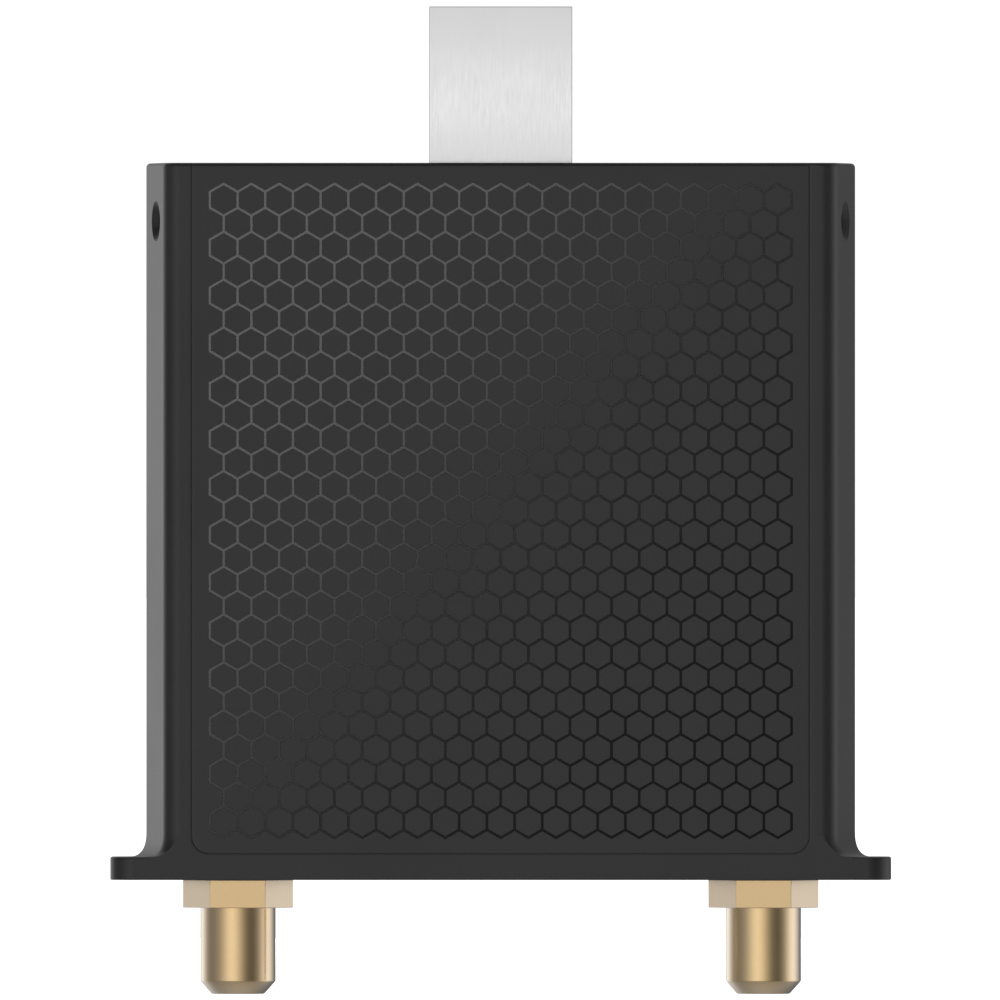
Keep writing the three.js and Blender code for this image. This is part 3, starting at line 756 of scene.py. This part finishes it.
def jack_hole_cutters(x):
    """The barrel's hole, and the square seat that keeps the jack's base from turning."""
    barrel = [
        (0, -OVERRUN),
        (JACK_RADIUS + CLEARANCE, -OVERRUN),
        (JACK_RADIUS + CLEARANCE, BOTTOM_WALL),
        (0, BOTTOM_WALL),
    ]
    outline = rectangle(JACK_BASE + 2 * CLEARANCE, JACK_BASE + 2 * CLEARANCE, CLEARANCE, Vector((x, 0)))
    return [
        lathe(barrel, place=Matrix.Translation((x, 0, 0))),
        prism([(outline, JACK_SEAT), (outline, JACK_SHOULDER + CLEARANCE)]),
    ]


def cover_screw_cutter(screw):
    """The hole and countersink for one cover screw, through the back wall."""
    place = middle_of(screw)
    shank = COVER_SCREW_SHANK + CLEARANCE
    head = COVER_SCREW_HEAD + CLEARANCE
    profile = [
        (0, CAVITY_BACK - OVERRUN),
        (shank, CAVITY_BACK - OVERRUN),
        (shank, BACK - COVER_SCREW_HEAD_DEPTH),
        (head, BACK - BROKEN_EDGE / 2),
        (head + BROKEN_EDGE / 2, BACK),
        (head + BROKEN_EDGE / 2, BACK + OVERRUN),
        (0, BACK + OVERRUN),
    ]
    return lathe(profile, SMALL_ROUND_STEPS, place=along_y(place.x, place.z))


def board_post(screw):
    """A post for one board screw, with its pilot hole, as a turned ring with a closed foot."""
    place = middle_of(screw)
    foot = CAVITY_BACK + BACK_WALL / 2
    profile = [
        (0, BOARD_SCREW_REACH),
        (BOARD_POST_BORE, BOARD_SCREW_REACH),
        (BOARD_POST_BORE, BOARD_BACK),
        (BOARD_POST_RADIUS, BOARD_BACK),
        (BOARD_POST_RADIUS, foot),
        (0, foot),
    ]
    return lathe(profile, SMALL_ROUND_STEPS, place=along_y(place.x, place.z))


def numbered(name, count=4):
    return [f"{name}_{i + 1}" for i in range(count)]


def crease_fillets(shell):
    """Keeps the front and back faces flat where the fillets over the flange run out into them."""
    mesh = shell.data
    low = FLANGE_THICKNESS * MM
    high = (FLANGE_THICKNESS + FILLET_HEIGHT) * MM
    for edge in mesh.edges:
        ends = [mesh.vertices[i].co for i in edge.vertices]
        on_face = all(abs(abs(end.y) - BACK * MM) < WELD * MM for end in ends)
        if on_face and all(low < end.z < high for end in ends):
            edge.use_edge_sharp = True


def housing(looks):
    body = joined(body_solid(), flange_solid())
    jack_middles = [middle_of(f"antenna_jack_{side}").x for side in ("left", "right")]
    cut(
        body,
        recess_cutter(),
        cavity_cutter(),
        plug_slot_cutter(),
        side_hole_cutter(1),
        side_hole_cutter(-1),
        *(cutter for x in jack_middles for cutter in jack_hole_cutters(x)),
        *map(cover_screw_cutter, numbered("cover_screw")),
    )
    joined(body, *map(board_post, numbered("board_screw")))
    shell = finish_piece(body, "housing_shell", "black_metal", [looks["black_metal"]], "housing")
    crease_fillets(shell)


# ---- Front cover with its honeycomb lines ----


def cover_loop(inset, rise):
    """A loop of the cover's rounded outer edge; the top edge is rounded as the body's is.

    inset and rise are shares, from 0 to 1, of the edge's width and depth.
    """
    top_share = TOP_EDGE_RADIUS / SEAM_EDGE_DEPTH
    half = COVER_HIGH.x - inset * SEAM_EDGE
    low = COVER_LOW.z + inset * SEAM_EDGE
    high = COVER_HIGH.z - inset * TOP_EDGE_RADIUS
    corner = COVER_CORNER - inset * SEAM_EDGE
    top_corner = COVER_TOP_CORNER - inset * SEAM_EDGE
    outline = rounded(
        [(-half, low, corner), (half, low, corner), (half, high, top_corner), (-half, high, top_corner)]
    )
    loop = []
    for point in outline:
        share = max(0.0, (point.y - (high - top_corner)) / top_corner)
        edge = SEAM_EDGE_DEPTH * (1 + (top_share - 1) * share)
        loop.append((point.x, FRONT + rise * edge, point.y))
    return loop


class Honeycomb:
    """Hexagon cells on a lattice whose units are half a pitch across and a third of a row up."""

    CORNERS = [(0, 2), (1, 1), (1, -1), (0, -2), (-1, -1), (-1, 1)]

    def __init__(self):
        self.side = CELL_PITCH / math.sqrt(3)
        self.left = -(CELLS_IN_LONG_ROW - 1) * CELL_PITCH / 2
        self.top = COVER_HIGH.z - PATTERN_TOP_MARGIN - self.side
        self.cells = [
            (2 * column + row % 2, -3 * row)
            for row in range(CELL_ROWS)
            for column in range(CELLS_IN_LONG_ROW - row % 2)
        ]
        self.around = {}
        self.sides = {}
        for cell in self.cells:
            corners = self.corners(cell)
            for i, corner in enumerate(corners):
                self.around.setdefault(corner, []).append(cell)
                edge = frozenset((corners[i - 1], corner))
                self.sides.setdefault(edge, []).append(cell)

    def corners(self, cell):
        return [(cell[0] + dx, cell[1] + dy) for dx, dy in self.CORNERS]

    def place(self, key):
        """A lattice point's place on the cover's face."""
        return Vector((self.left + key[0] * CELL_PITCH / 2, self.top + key[1] * CELL_ROW_PITCH / 3))

    def lines(self):
        """Each line's two ends and the regions on its two sides; the outermost region is None."""
        for edge, cells in self.sides.items():
            yield sorted(edge), cells + [None] * (2 - len(cells))

    def meetings(self):
        """Each corner where lines meet, with the three regions around it."""
        for corner, cells in self.around.items():
            if len(cells) > 1:
                yield corner, cells + [None] * (3 - len(cells))

    def inset(self, corner, cell, line):
        """The corner of a cell, or of the field outside it (cell None), beside a line of that width."""
        here = self.place(corner)
        near = [cell] if cell else self.around[corner]
        away = sum(((self.place(c) - here) / self.side for c in near), Vector((0, 0)))
        return here + away * (line / math.sqrt(3)) * (1 if cell else -1)


class HoneycombMesh:
    """A mesh on the honeycomb's lattice, with each vertex made when it is first asked for."""

    def __init__(self, bm, comb):
        self.bm = bm
        self.comb = comb
        self.made = {}

    def vertex(self, corner, region, line, depth):
        """A corner of a region beside a line of that width, at a depth behind the cover's face."""
        key = (corner, region, line, depth)
        if key not in self.made:
            point = self.comb.inset(corner, region, line)
            self.made[key] = self.bm.verts.new((point.x, FRONT + depth, point.y))
        return self.made[key]

    def layer(self, line, depth):
        """The strips and meeting points of all the lines, as flat faces."""
        for edge, regions in self.comb.lines():
            start, end = edge
            corners = [(start, regions[0]), (end, regions[0]), (end, regions[1]), (start, regions[1])]
            self.bm.faces.new([self.vertex(*corner, line, depth) for corner in corners])
        for corner, regions in self.comb.meetings():
            self.bm.faces.new([self.vertex(corner, region, line, depth) for region in regions])

    def walls(self, front, back):
        """The lines' side walls from one (line, depth) to another. Returns the outermost edges."""
        outermost = []
        for (start, end), regions in self.comb.lines():
            for region in regions:
                near = [self.vertex(corner, region, *front) for corner in (start, end)]
                far = [self.vertex(corner, region, *back) for corner in (end, start)]
                self.bm.faces.new(near + far)
                if region is None:
                    outermost.append(self.bm.edges.get(near))
        return outermost


def honeycomb_face(bm, boundary):
    """The cover's flat cells and margin, with the grooves between them."""
    comb = Honeycomb()
    mesh = HoneycombMesh(bm, comb)
    for cell in comb.cells:
        bm.faces.new([mesh.vertex(corner, cell, CELL_LINE, 0) for corner in comb.corners(cell)])
    mesh.layer(CELL_LINE_FLOOR, CELL_LINE_DEPTH)
    outermost = mesh.walls((CELL_LINE, 0), (CELL_LINE_FLOOR, CELL_LINE_DEPTH))
    bmesh.ops.triangle_fill(bm, use_beauty=True, use_dissolve=False, edges=[*boundary, *outermost])


def honeycomb_inlay(looks):
    """The glossy lacquer that lies in the cover's grooves."""
    bm = bmesh.new()
    mesh = HoneycombMesh(bm, Honeycomb())
    front = (CELL_INLAY, CELL_INLAY_SUNK)
    back = (CELL_INLAY, CELL_LINE_DEPTH + CELL_INLAY_SUNK)
    mesh.layer(*front)
    mesh.layer(*back)
    mesh.walls(front, back)
    inlay = made("honeycomb_inlay", bm)
    return finish_piece(inlay, "honeycomb_inlay", "black_metal", [looks["black_gloss"]])


def cover_boss(bm, screw):
    """A boss on the cover's back with its blind screw hole. Returns the ring at its root."""
    place = middle_of(screw)
    end = COVER_HIGH.y
    profile = [
        (BOSS_RADIUS, COVER_BACK),
        (BOSS_RADIUS, end - BROKEN_EDGE),
        (BOSS_RADIUS - BROKEN_EDGE, end),
        (BOSS_BORE_RADIUS + BROKEN_EDGE, end),
        (BOSS_BORE_RADIUS, end - BROKEN_EDGE),
        (BOSS_BORE_RADIUS, end - BOSS_BORE_DEPTH),
        (0, end - BOSS_BORE_DEPTH),
    ]
    rings = turned(bm, profile, SMALL_ROUND_STEPS)
    moved = {vertex for ring in rings for vertex in ring}
    bmesh.ops.transform(bm, matrix=along_y(place.x, place.z), verts=list(moved))
    return rings[0]


def ring_edges(bm, ring):
    return [bm.edges.get((ring[i - 1], ring[i])) for i in range(len(ring))]


def front_cover(looks):
    bm = bmesh.new()
    loops = [cover_loop(inset, rise) for inset, rise in reversed(edge_rounding(1))]
    back = [(x, COVER_BACK, z) for x, _, z in loops[-1]]
    rings = loft(bm, loops + [back], capped=False)
    honeycomb_face(bm, ring_edges(bm, rings[0]))
    rim = ring_edges(bm, rings[-1])
    for screw in numbered("cover_screw"):
        rim += ring_edges(bm, cover_boss(bm, screw))
    bmesh.ops.triangle_fill(bm, use_beauty=True, use_dissolve=False, edges=rim)
    cover = made("front_panel", bm)
    finish_piece(cover, "front_panel", "black_metal", [looks["black_metal"]], "front_cover")


# ---- Screws ----


def hex_socket(radius, low, high):
    """A six-sided driver hole with the drill's cone at its end."""
    outline = circle(radius, HEXAGON)
    cone = [p * DRIVE_CONE for p in outline]
    return prism([(cone, low - DRIVE_CONE * radius), (outline, low), (outline, high)])


def cover_screw(looks, node):
    """A countersunk screw with its head level with the back, made along Z with its face at 0."""
    low, high = mm_box(node)
    tip = low.y - high.y
    shank = COVER_SCREW_SHANK
    neck = shank - COVER_SCREW_NECK
    head = COVER_SCREW_HEAD
    profile = [
        (0, tip),
        (shank - COVER_SCREW_TIP, tip),
        (shank - COVER_SCREW_TIP_INSET, tip + COVER_SCREW_TIP),
    ]
    turns = int((-tip - COVER_SCREW_HEAD_DEPTH - COVER_THREAD_PITCH) / COVER_THREAD_PITCH)
    for i in range(turns):
        start = tip + COVER_THREAD_START + COVER_THREAD_PITCH * i
        profile += [(shank - depth, start + height) for height, depth in COVER_THREAD]
    profile += [
        (neck, -COVER_SCREW_HEAD_DEPTH - COVER_SCREW_HEAD_LAND),
        (neck, -COVER_SCREW_HEAD_DEPTH),
        (head, -COVER_SCREW_HEAD_LAND),
        *((head - inset, -depth) for inset, depth in COVER_SCREW_HEAD_EDGE),
        (0, 0),
    ]
    screw = lathe(profile, SMALL_ROUND_STEPS)
    cut(screw, hex_socket(DRIVE_RADIUS, -DRIVE_DEPTH, OVERRUN))
    place = middle_of(node)
    screw.data.transform(Matrix.Translation((0, high.y, 0)) @ along_y(place.x, place.z))
    finish_piece(screw, f"{node}_body", "black_screw", [looks["black_screw"]], node)


# ---- USB plug ----


def plug_ears(width):
    """The shell's two ears, which stand on the board inside the housing, as one strip."""
    middle = Vector((0, (PLUG_EAR_LOW + PLUG_EAR_HIGH) / 2))
    strip = rectangle(width, PLUG_EAR_HIGH - PLUG_EAR_LOW, PLUG_EAR_CORNER, middle)
    return prism([(strip, BOARD_FRONT - PLUG_EAR_THICKNESS), (strip, BOARD_FRONT)], "Y")


def plug_bore_cutter(root, end):
    def bore_outline(grow):
        return plug_outline(PLUG_WALL - grow)

    return mouthed(bore_outline, root - OVERRUN, end, PLUG_LIP, 1, "Z")


def plug_window_cutter(x, face, end):
    """The cutter for one latch window, with its middle x from the plug's middle."""

    def window_outline(grow):
        width = PLUG_WINDOW_WIDTH + 2 * grow
        height = PLUG_WINDOW_HEIGHT + 2 * grow
        middle = Vector((x, end - PLUG_WINDOW_FROM_END))
        return rectangle(width, height, PLUG_WINDOW_CORNER + grow, middle)

    return mouthed(window_outline, face - 2 * PLUG_WALL, face, PLUG_LIP / 2, 1, "Y")


def plug_seam_cutter(face, end):
    """The cutter for the fine line where the folded sheet's two edges meet."""
    middle = Vector((0, (end + BODY_TOP) / 2))
    seam = rectangle(PLUG_SEAM_WIDTH, end - BODY_TOP + OVERRUN, PLUG_SEAM_WIDTH / 3, middle, steps=2)
    return prism([(seam, face - PLUG_WALL / 2), (seam, face + OVERRUN)], "Y")


def plug_shell(looks):
    """The folded steel shell, with rounded lips, two latch windows and its seam at the back."""
    low, high = mm_box("usb_shell")
    root = low.z
    end = high.z
    outside = [(plug_outline(0), root)]
    outside += [(plug_outline(inset), end - depth) for inset, depth in edge_rounding(PLUG_LIP)]
    shell = joined(prism(outside), plug_ears(high.x - low.x))
    cut(
        shell,
        plug_bore_cutter(root, end),
        plug_window_cutter(-PLUG_WINDOW_X, high.y, end),
        plug_window_cutter(PLUG_WINDOW_X, high.y, end),
        plug_seam_cutter(high.y, end),
    )
    return finish_piece(shell, "usb_shell_folded", "plug_steel", [looks["plug_steel"]], "usb_shell")


# ---- Antenna jacks, each made about its own Z axis ----


def jack_barrel(end):
    """The barrel, from its chamfered end up into the base."""
    edge = BROKEN_EDGE / 2
    lean = JACK_RADIUS - JACK_END_RADIUS
    root = JACK_SEAT + JACK_BASE_THICKNESS / 2
    profile = [
        (0, end),
        (JACK_END_RADIUS - edge, end),
        (JACK_END_RADIUS + edge * lean, end + edge * JACK_CHAMFER),
        (JACK_RADIUS - edge * lean, end + JACK_CHAMFER - edge * JACK_CHAMFER),
        (JACK_RADIUS, end + JACK_CHAMFER + edge),
        (JACK_RADIUS, root),
        (0, root),
    ]
    return lathe(profile)


def jack_base():
    outline = rectangle(JACK_BASE, JACK_BASE, JACK_BASE_CORNER)
    return prism([(outline, JACK_SEAT), (outline, JACK_SHOULDER)])


def jack_legs(top):
    """Four legs at the base's corners, in front of the board and behind it."""
    x = (JACK_BASE - JACK_LEG_WIDTH) / 2
    gap = (CLEARANCE + JACK_LEG_DEPTH) / 2
    root = JACK_SEAT + JACK_BASE_THICKNESS / 2
    legs = []
    for side in (-1, 1):
        for y in (BOARD_FRONT - gap, BOARD_BACK + gap):
            middle = Vector((side * x, y))
            leg = rectangle(JACK_LEG_WIDTH, JACK_LEG_DEPTH, JACK_LEG_CORNER, middle, EDGE_STEPS)
            legs.append(prism([(leg, root), (leg, top)]))
    return legs


def jack_bore_cutter(end):
    edge = BROKEN_EDGE / 2
    profile = [
        (0, end - OVERRUN),
        (JACK_BORE + edge / 2, end - OVERRUN),
        (JACK_BORE + edge / 2, end),
        (JACK_BORE, end + edge),
        (JACK_BORE, JACK_SHOULDER + OVERRUN),
        (0, JACK_SHOULDER + OVERRUN),
    ]
    return lathe(profile)


def jack_body(looks, side):
    node = f"antenna_jack_{side}"
    low, high = mm_box(node)
    jack = joined(jack_barrel(low.z), jack_base(), *jack_legs(high.z))
    cut(jack, jack_bore_cutter(low.z))
    jack.data.transform(Matrix.Translation((middle_of(node).x, 0, 0)))
    return finish_piece(jack, f"{node}_body", "jack_gold", [looks["jack_gold"]], node)


def jack_sleeve(looks, side):
    node = f"jack_insulator_{side}"
    low, high = mm_box(node)
    edge = BROKEN_EDGE / 2
    inner = JACK_SOCKET_RADIUS + JACK_SLEEVE_GAP
    profile = [
        (inner + edge, low.z),
        (JACK_SLEEVE_RADIUS - edge, low.z),
        (JACK_SLEEVE_RADIUS, low.z + edge),
        (JACK_SLEEVE_RADIUS, high.z),
        (inner, high.z),
        (inner, low.z + edge),
    ]
    place = Matrix.Translation((middle_of(node).x, 0, 0))
    sleeve = lathe(profile, closed=True, place=place)
    finish_piece(sleeve, f"{node}_sleeve", "white_sleeve", [looks["white_sleeve"]], node)


def jack_socket(looks, side):
    """The centre contact: a slotted socket at the mouth, and a thinner pin over the board."""
    node = f"jack_socket_{side}"
    low, high = mm_box(node)
    edge = JACK_EDGE
    bottom = low.z + JACK_SOCKET_DEPTH
    profile = [
        (0, bottom + JACK_SOCKET_BORE / 2),
        (JACK_SOCKET_BORE, bottom),
        (JACK_SOCKET_BORE, low.z + edge),
        (JACK_SOCKET_BORE + edge, low.z),
        (JACK_SOCKET_RADIUS - edge / 2, low.z),
        (JACK_SOCKET_RADIUS, low.z + edge / 2),
        (JACK_SOCKET_RADIUS, JACK_SHOULDER),
        (JACK_PIN_RADIUS, JACK_SHOULDER),
        (JACK_PIN_RADIUS, high.z - edge),
        (JACK_PIN_RADIUS - edge, high.z),
        (0, high.z),
    ]
    socket = lathe(profile, SMALL_ROUND_STEPS)
    slots = []
    for turn in (0, math.pi / 2):
        outline = rectangle(JACK_SOCKET_SLOT, 2 * OVERRUN, JACK_SOCKET_SLOT / 3, steps=3)
        slot = prism([(outline, low.z - OVERRUN), (outline, bottom - 2 * edge)])
        slot.data.transform(Matrix.Rotation(turn, 4, "Z"))
        slots.append(slot)
    cut(socket, *slots)
    socket.data.transform(Matrix.Translation((middle_of(node).x, 0, 0)))
    finish_piece(socket, f"{node}_contact", "contact_gold", [looks["contact_gold"]], node)


def jack_nut(looks, side):
    """A hexagon nut with a flat to the front, slightly broken edges and a chamfered bore."""
    node = f"antenna_nut_{side}"
    low, high = mm_box(node)
    corner_radius = (high.x - low.x) / 2
    rounding = edge_rounding(NUT_EDGE, NUT_EDGE_STEPS)
    levels = [(inset, low.z + depth) for inset, depth in reversed(rounding)]
    levels += [(inset, high.z - depth) for inset, depth in rounding]

    def hexagon(inset):
        reach = corner_radius - inset / math.cos(math.pi / HEXAGON)
        return rounded([(p.x, p.y, NUT_EDGE) for p in circle(reach, HEXAGON)], NUT_EDGE_STEPS)

    nut = prism([(hexagon(inset), height) for inset, height in levels])
    mouth = NUT_BORE + NUT_BORE_CHAMFER
    bore = [
        (0, low.z - OVERRUN),
        (mouth, low.z - OVERRUN),
        (mouth, low.z),
        (NUT_BORE, low.z + NUT_BORE_CHAMFER),
        (NUT_BORE, high.z - NUT_BORE_CHAMFER),
        (mouth, high.z),
        (mouth, high.z + OVERRUN),
        (0, high.z + OVERRUN),
    ]
    cut(nut, lathe(bore))
    nut.data.transform(Matrix.Translation((middle_of(node).x, 0, 0)))
    return finish_piece(nut, f"{node}_ring", "jack_gold", [looks["nut_gold"]], node)


# ---- CAD nodes that stay: small and inner pieces, with softened edges ----


def soften(node, look):
    obj = frame["nodes"][node]
    obj.data.materials.clear()
    obj.data.materials.append(look)
    bevel = obj.modifiers.new("soft edges", "BEVEL")
    bevel.width = SOFT_EDGE * MM
    bevel.segments = 2
    bevel.limit_method = "ANGLE"
    bevel.harden_normals = False


def kept_nodes(looks):
    kept = {
        "plug_plastic": ["usb_insulator"],
        "contact_gold": [f"usb_contact_{name}" for name in ("power", "data_minus", "data_plus", "ground")],
        "zinc_screw": numbered("board_screw"),
        "board_green": ["main_board"],
        "shield_tin": ["radio_shield", "clock_crystal", "filter_left", "filter_right"],
        "thermal_grey": ["thermal_pad"],
        "chip_black": [
            "modem_chip",
            "transceiver_chip",
            "memory_chip",
            "amplifier_left",
            "amplifier_right",
            "power_inductor",
            "power_regulator",
            "subscriber_chip",
            "surge_protector",
            *numbered("power_capacitor", 2),
        ],
    }
    for look, nodes in kept.items():
        for node in nodes:
            soften(node, looks[look])


# ---- Stage ----


def camera():
    data = bpy.data.cameras.new("camera")
    data.lens = LENS
    data.sensor_width = SENSOR_WIDTH
    data.clip_end = CAMERA_REACH * MM
    obj = bpy.data.objects.new("camera", data)
    distance = VIEW_WIDTH * LENS / SENSOR_WIDTH
    obj.location = Vector((VIEW_MIDDLE_X, FRONT - distance, VIEW_MIDDLE_Z)) * MM
    obj.rotation_euler = (math.pi / 2, 0, 0)
    bpy.context.scene.collection.objects.link(obj)
    bpy.context.scene.camera = obj


def floor():
    bm = bmesh.new()
    bmesh.ops.create_grid(bm, x_segments=2, y_segments=2, size=FLOOR_HALF_WIDTH)
    obj = made("floor", bm)
    obj.data.transform(Matrix.Scale(MM, 4))
    obj.data.materials.append(pale_floor())
    obj.location.z = cad_box[0].z - FLOOR_GAP * MM
    obj.visible_glossy = False


def softbox(name, place, target, size, radiance):
    """A soft light that the camera doesn't see, aimed at a point; all lengths in millimetres."""
    data = bpy.data.lights.new(name, "AREA")
    data.shape = "RECTANGLE"
    data.size = size[0] * MM
    data.size_y = size[1] * MM
    data.energy = radiance * math.pi * data.size * data.size_y
    obj = bpy.data.objects.new(name, data)
    obj.location = Vector(place) * MM
    towards = Vector(target) - Vector(place)
    obj.rotation_euler = towards.to_track_quat("-Z", "Z").to_euler()
    obj.visible_camera = False
    bpy.context.scene.collection.objects.link(obj)
    return obj


def only_on(light, pieces):
    """Flags a light off everything but some pieces."""
    lit = bpy.data.collections.new(light.name)
    for piece in pieces:
        lit.objects.link(piece)
    light.light_linking.receiver_collection = lit


def lights(inlay, plug, metals):
    """Small lights for single pieces; the room's tall soft lights are in the world."""
    diagonal = Vector((-math.cos(INLAY_LIGHT_TILT), 0, math.sin(INLAY_LIGHT_TILT)))
    middle = Vector((0, FRONT - INLAY_LIGHT_DISTANCE, VIEW_MIDDLE_Z))
    place = middle + diagonal * (INLAY_LIGHT_OFFSET + INLAY_LIGHT_SIZE / 2)
    size = (INLAY_LIGHT_SIZE, INLAY_LIGHT_SIZE)
    light = softbox("inlay_light", place, place + Vector((0, 1, 0)), size, INLAY_LIGHT_RADIANCE)
    light.rotation_euler.rotate_axis("Z", -INLAY_LIGHT_TILT)
    light.visible_diffuse = False
    only_on(light, [inlay])

    plug_middle = Vector((0, 0, PLUG_LIGHT_Z))
    place = plug_middle + Vector((0, -PLUG_LIGHT_DISTANCE, 0))
    light = softbox("plug_light", place, plug_middle, PLUG_LIGHT_SIZE, PLUG_LIGHT_RADIANCE)
    light.visible_diffuse = False
    only_on(light, [plug])

    object_middle = Vector((0, 0, VIEW_MIDDLE_Z))
    place = object_middle + Vector((0, BACK_LIGHT_DISTANCE, 0))
    light = softbox("back_fill", place, object_middle, BACK_FILL_SIZE, BACK_FILL_RADIANCE)
    light.visible_glossy = False
    light = softbox("back_metal_light", place, object_middle, BACK_METAL_SIZE, BACK_METAL_RADIANCE)
    only_on(light, metals)


def glow(nodes, direction, azimuth, elevation, half_width, radiance):
    """A round soft light in the world, at half its radiance half_width degrees off its middle."""
    across = math.radians(azimuth)
    up = math.radians(elevation)
    axis = (math.sin(across) * math.cos(up), -math.cos(across) * math.cos(up), math.sin(up))
    towards = nodes.node("ShaderNodeVectorMath", {0: direction, 1: axis}, operation="DOT_PRODUCT")
    sharpness = math.log(2) / (1 - math.cos(math.radians(half_width)))
    fall = nodes.math("MULTIPLY_ADD", towards.outputs["Value"], sharpness, -sharpness)
    return nodes.math("MULTIPLY", nodes.math("EXPONENT", fall), radiance)


def world():
    """White where the camera looks past the object, and elsewhere a dim room with soft lights."""
    data = bpy.data.worlds.new("studio")
    bpy.context.scene.world = data
    data.use_nodes = True
    nodes = Nodes(data.node_tree)
    direction = nodes.node("ShaderNodeTexCoord").outputs["Generated"]
    light = ROOM
    for place_and_strength in GLOWS:
        light = nodes.math("ADD", light, glow(nodes, direction, *place_and_strength))
    seen = nodes.node("ShaderNodeLightPath").outputs["Is Camera Ray"]
    background = data.node_tree.nodes["Background"]
    colour = nodes.blend(seen, light, grey(BACKDROP))
    data.node_tree.links.new(colour, background.inputs["Color"])


def stage(inlay, plug, metals):
    bpy.context.scene.view_settings.view_transform = "Standard"
    camera()
    floor()
    world()
    lights(inlay, plug, metals)


# ---- Everything together ----


def main():
    looks = {
        "black_metal": black_metal(),
        "black_gloss": black_gloss(),
        "black_screw": black_screw(),
        "plug_steel": plug_steel(),
        "jack_gold": jack_gold(),
        "nut_gold": nut_gold(),
        "contact_gold": contact_gold(),
        "white_sleeve": white_sleeve(),
        "plug_plastic": moulded("plug_plastic", grey(0.02), grey(0.014), 0.45),
        "board_green": board_green(),
        "shield_tin": tinned(),
        "zinc_screw": zinc(),
        "chip_black": moulded("chip_black", grey(0.02), grey(0.015), 0.55),
        "thermal_grey": moulded("thermal_grey", grey(0.3), grey(0.26), 0.8),
    }
    housing(looks)
    front_cover(looks)
    inlay = honeycomb_inlay(looks)
    for node in numbered("cover_screw"):
        cover_screw(looks, node)
    plug = plug_shell(looks)
    metals = [plug]
    for side in ("left", "right"):
        metals.append(jack_body(looks, side))
        jack_sleeve(looks, side)
        jack_socket(looks, side)
        metals.append(jack_nut(looks, side))
    kept_nodes(looks)
    stage(inlay, plug, metals)


main()
bpy.context.view_layer.update()
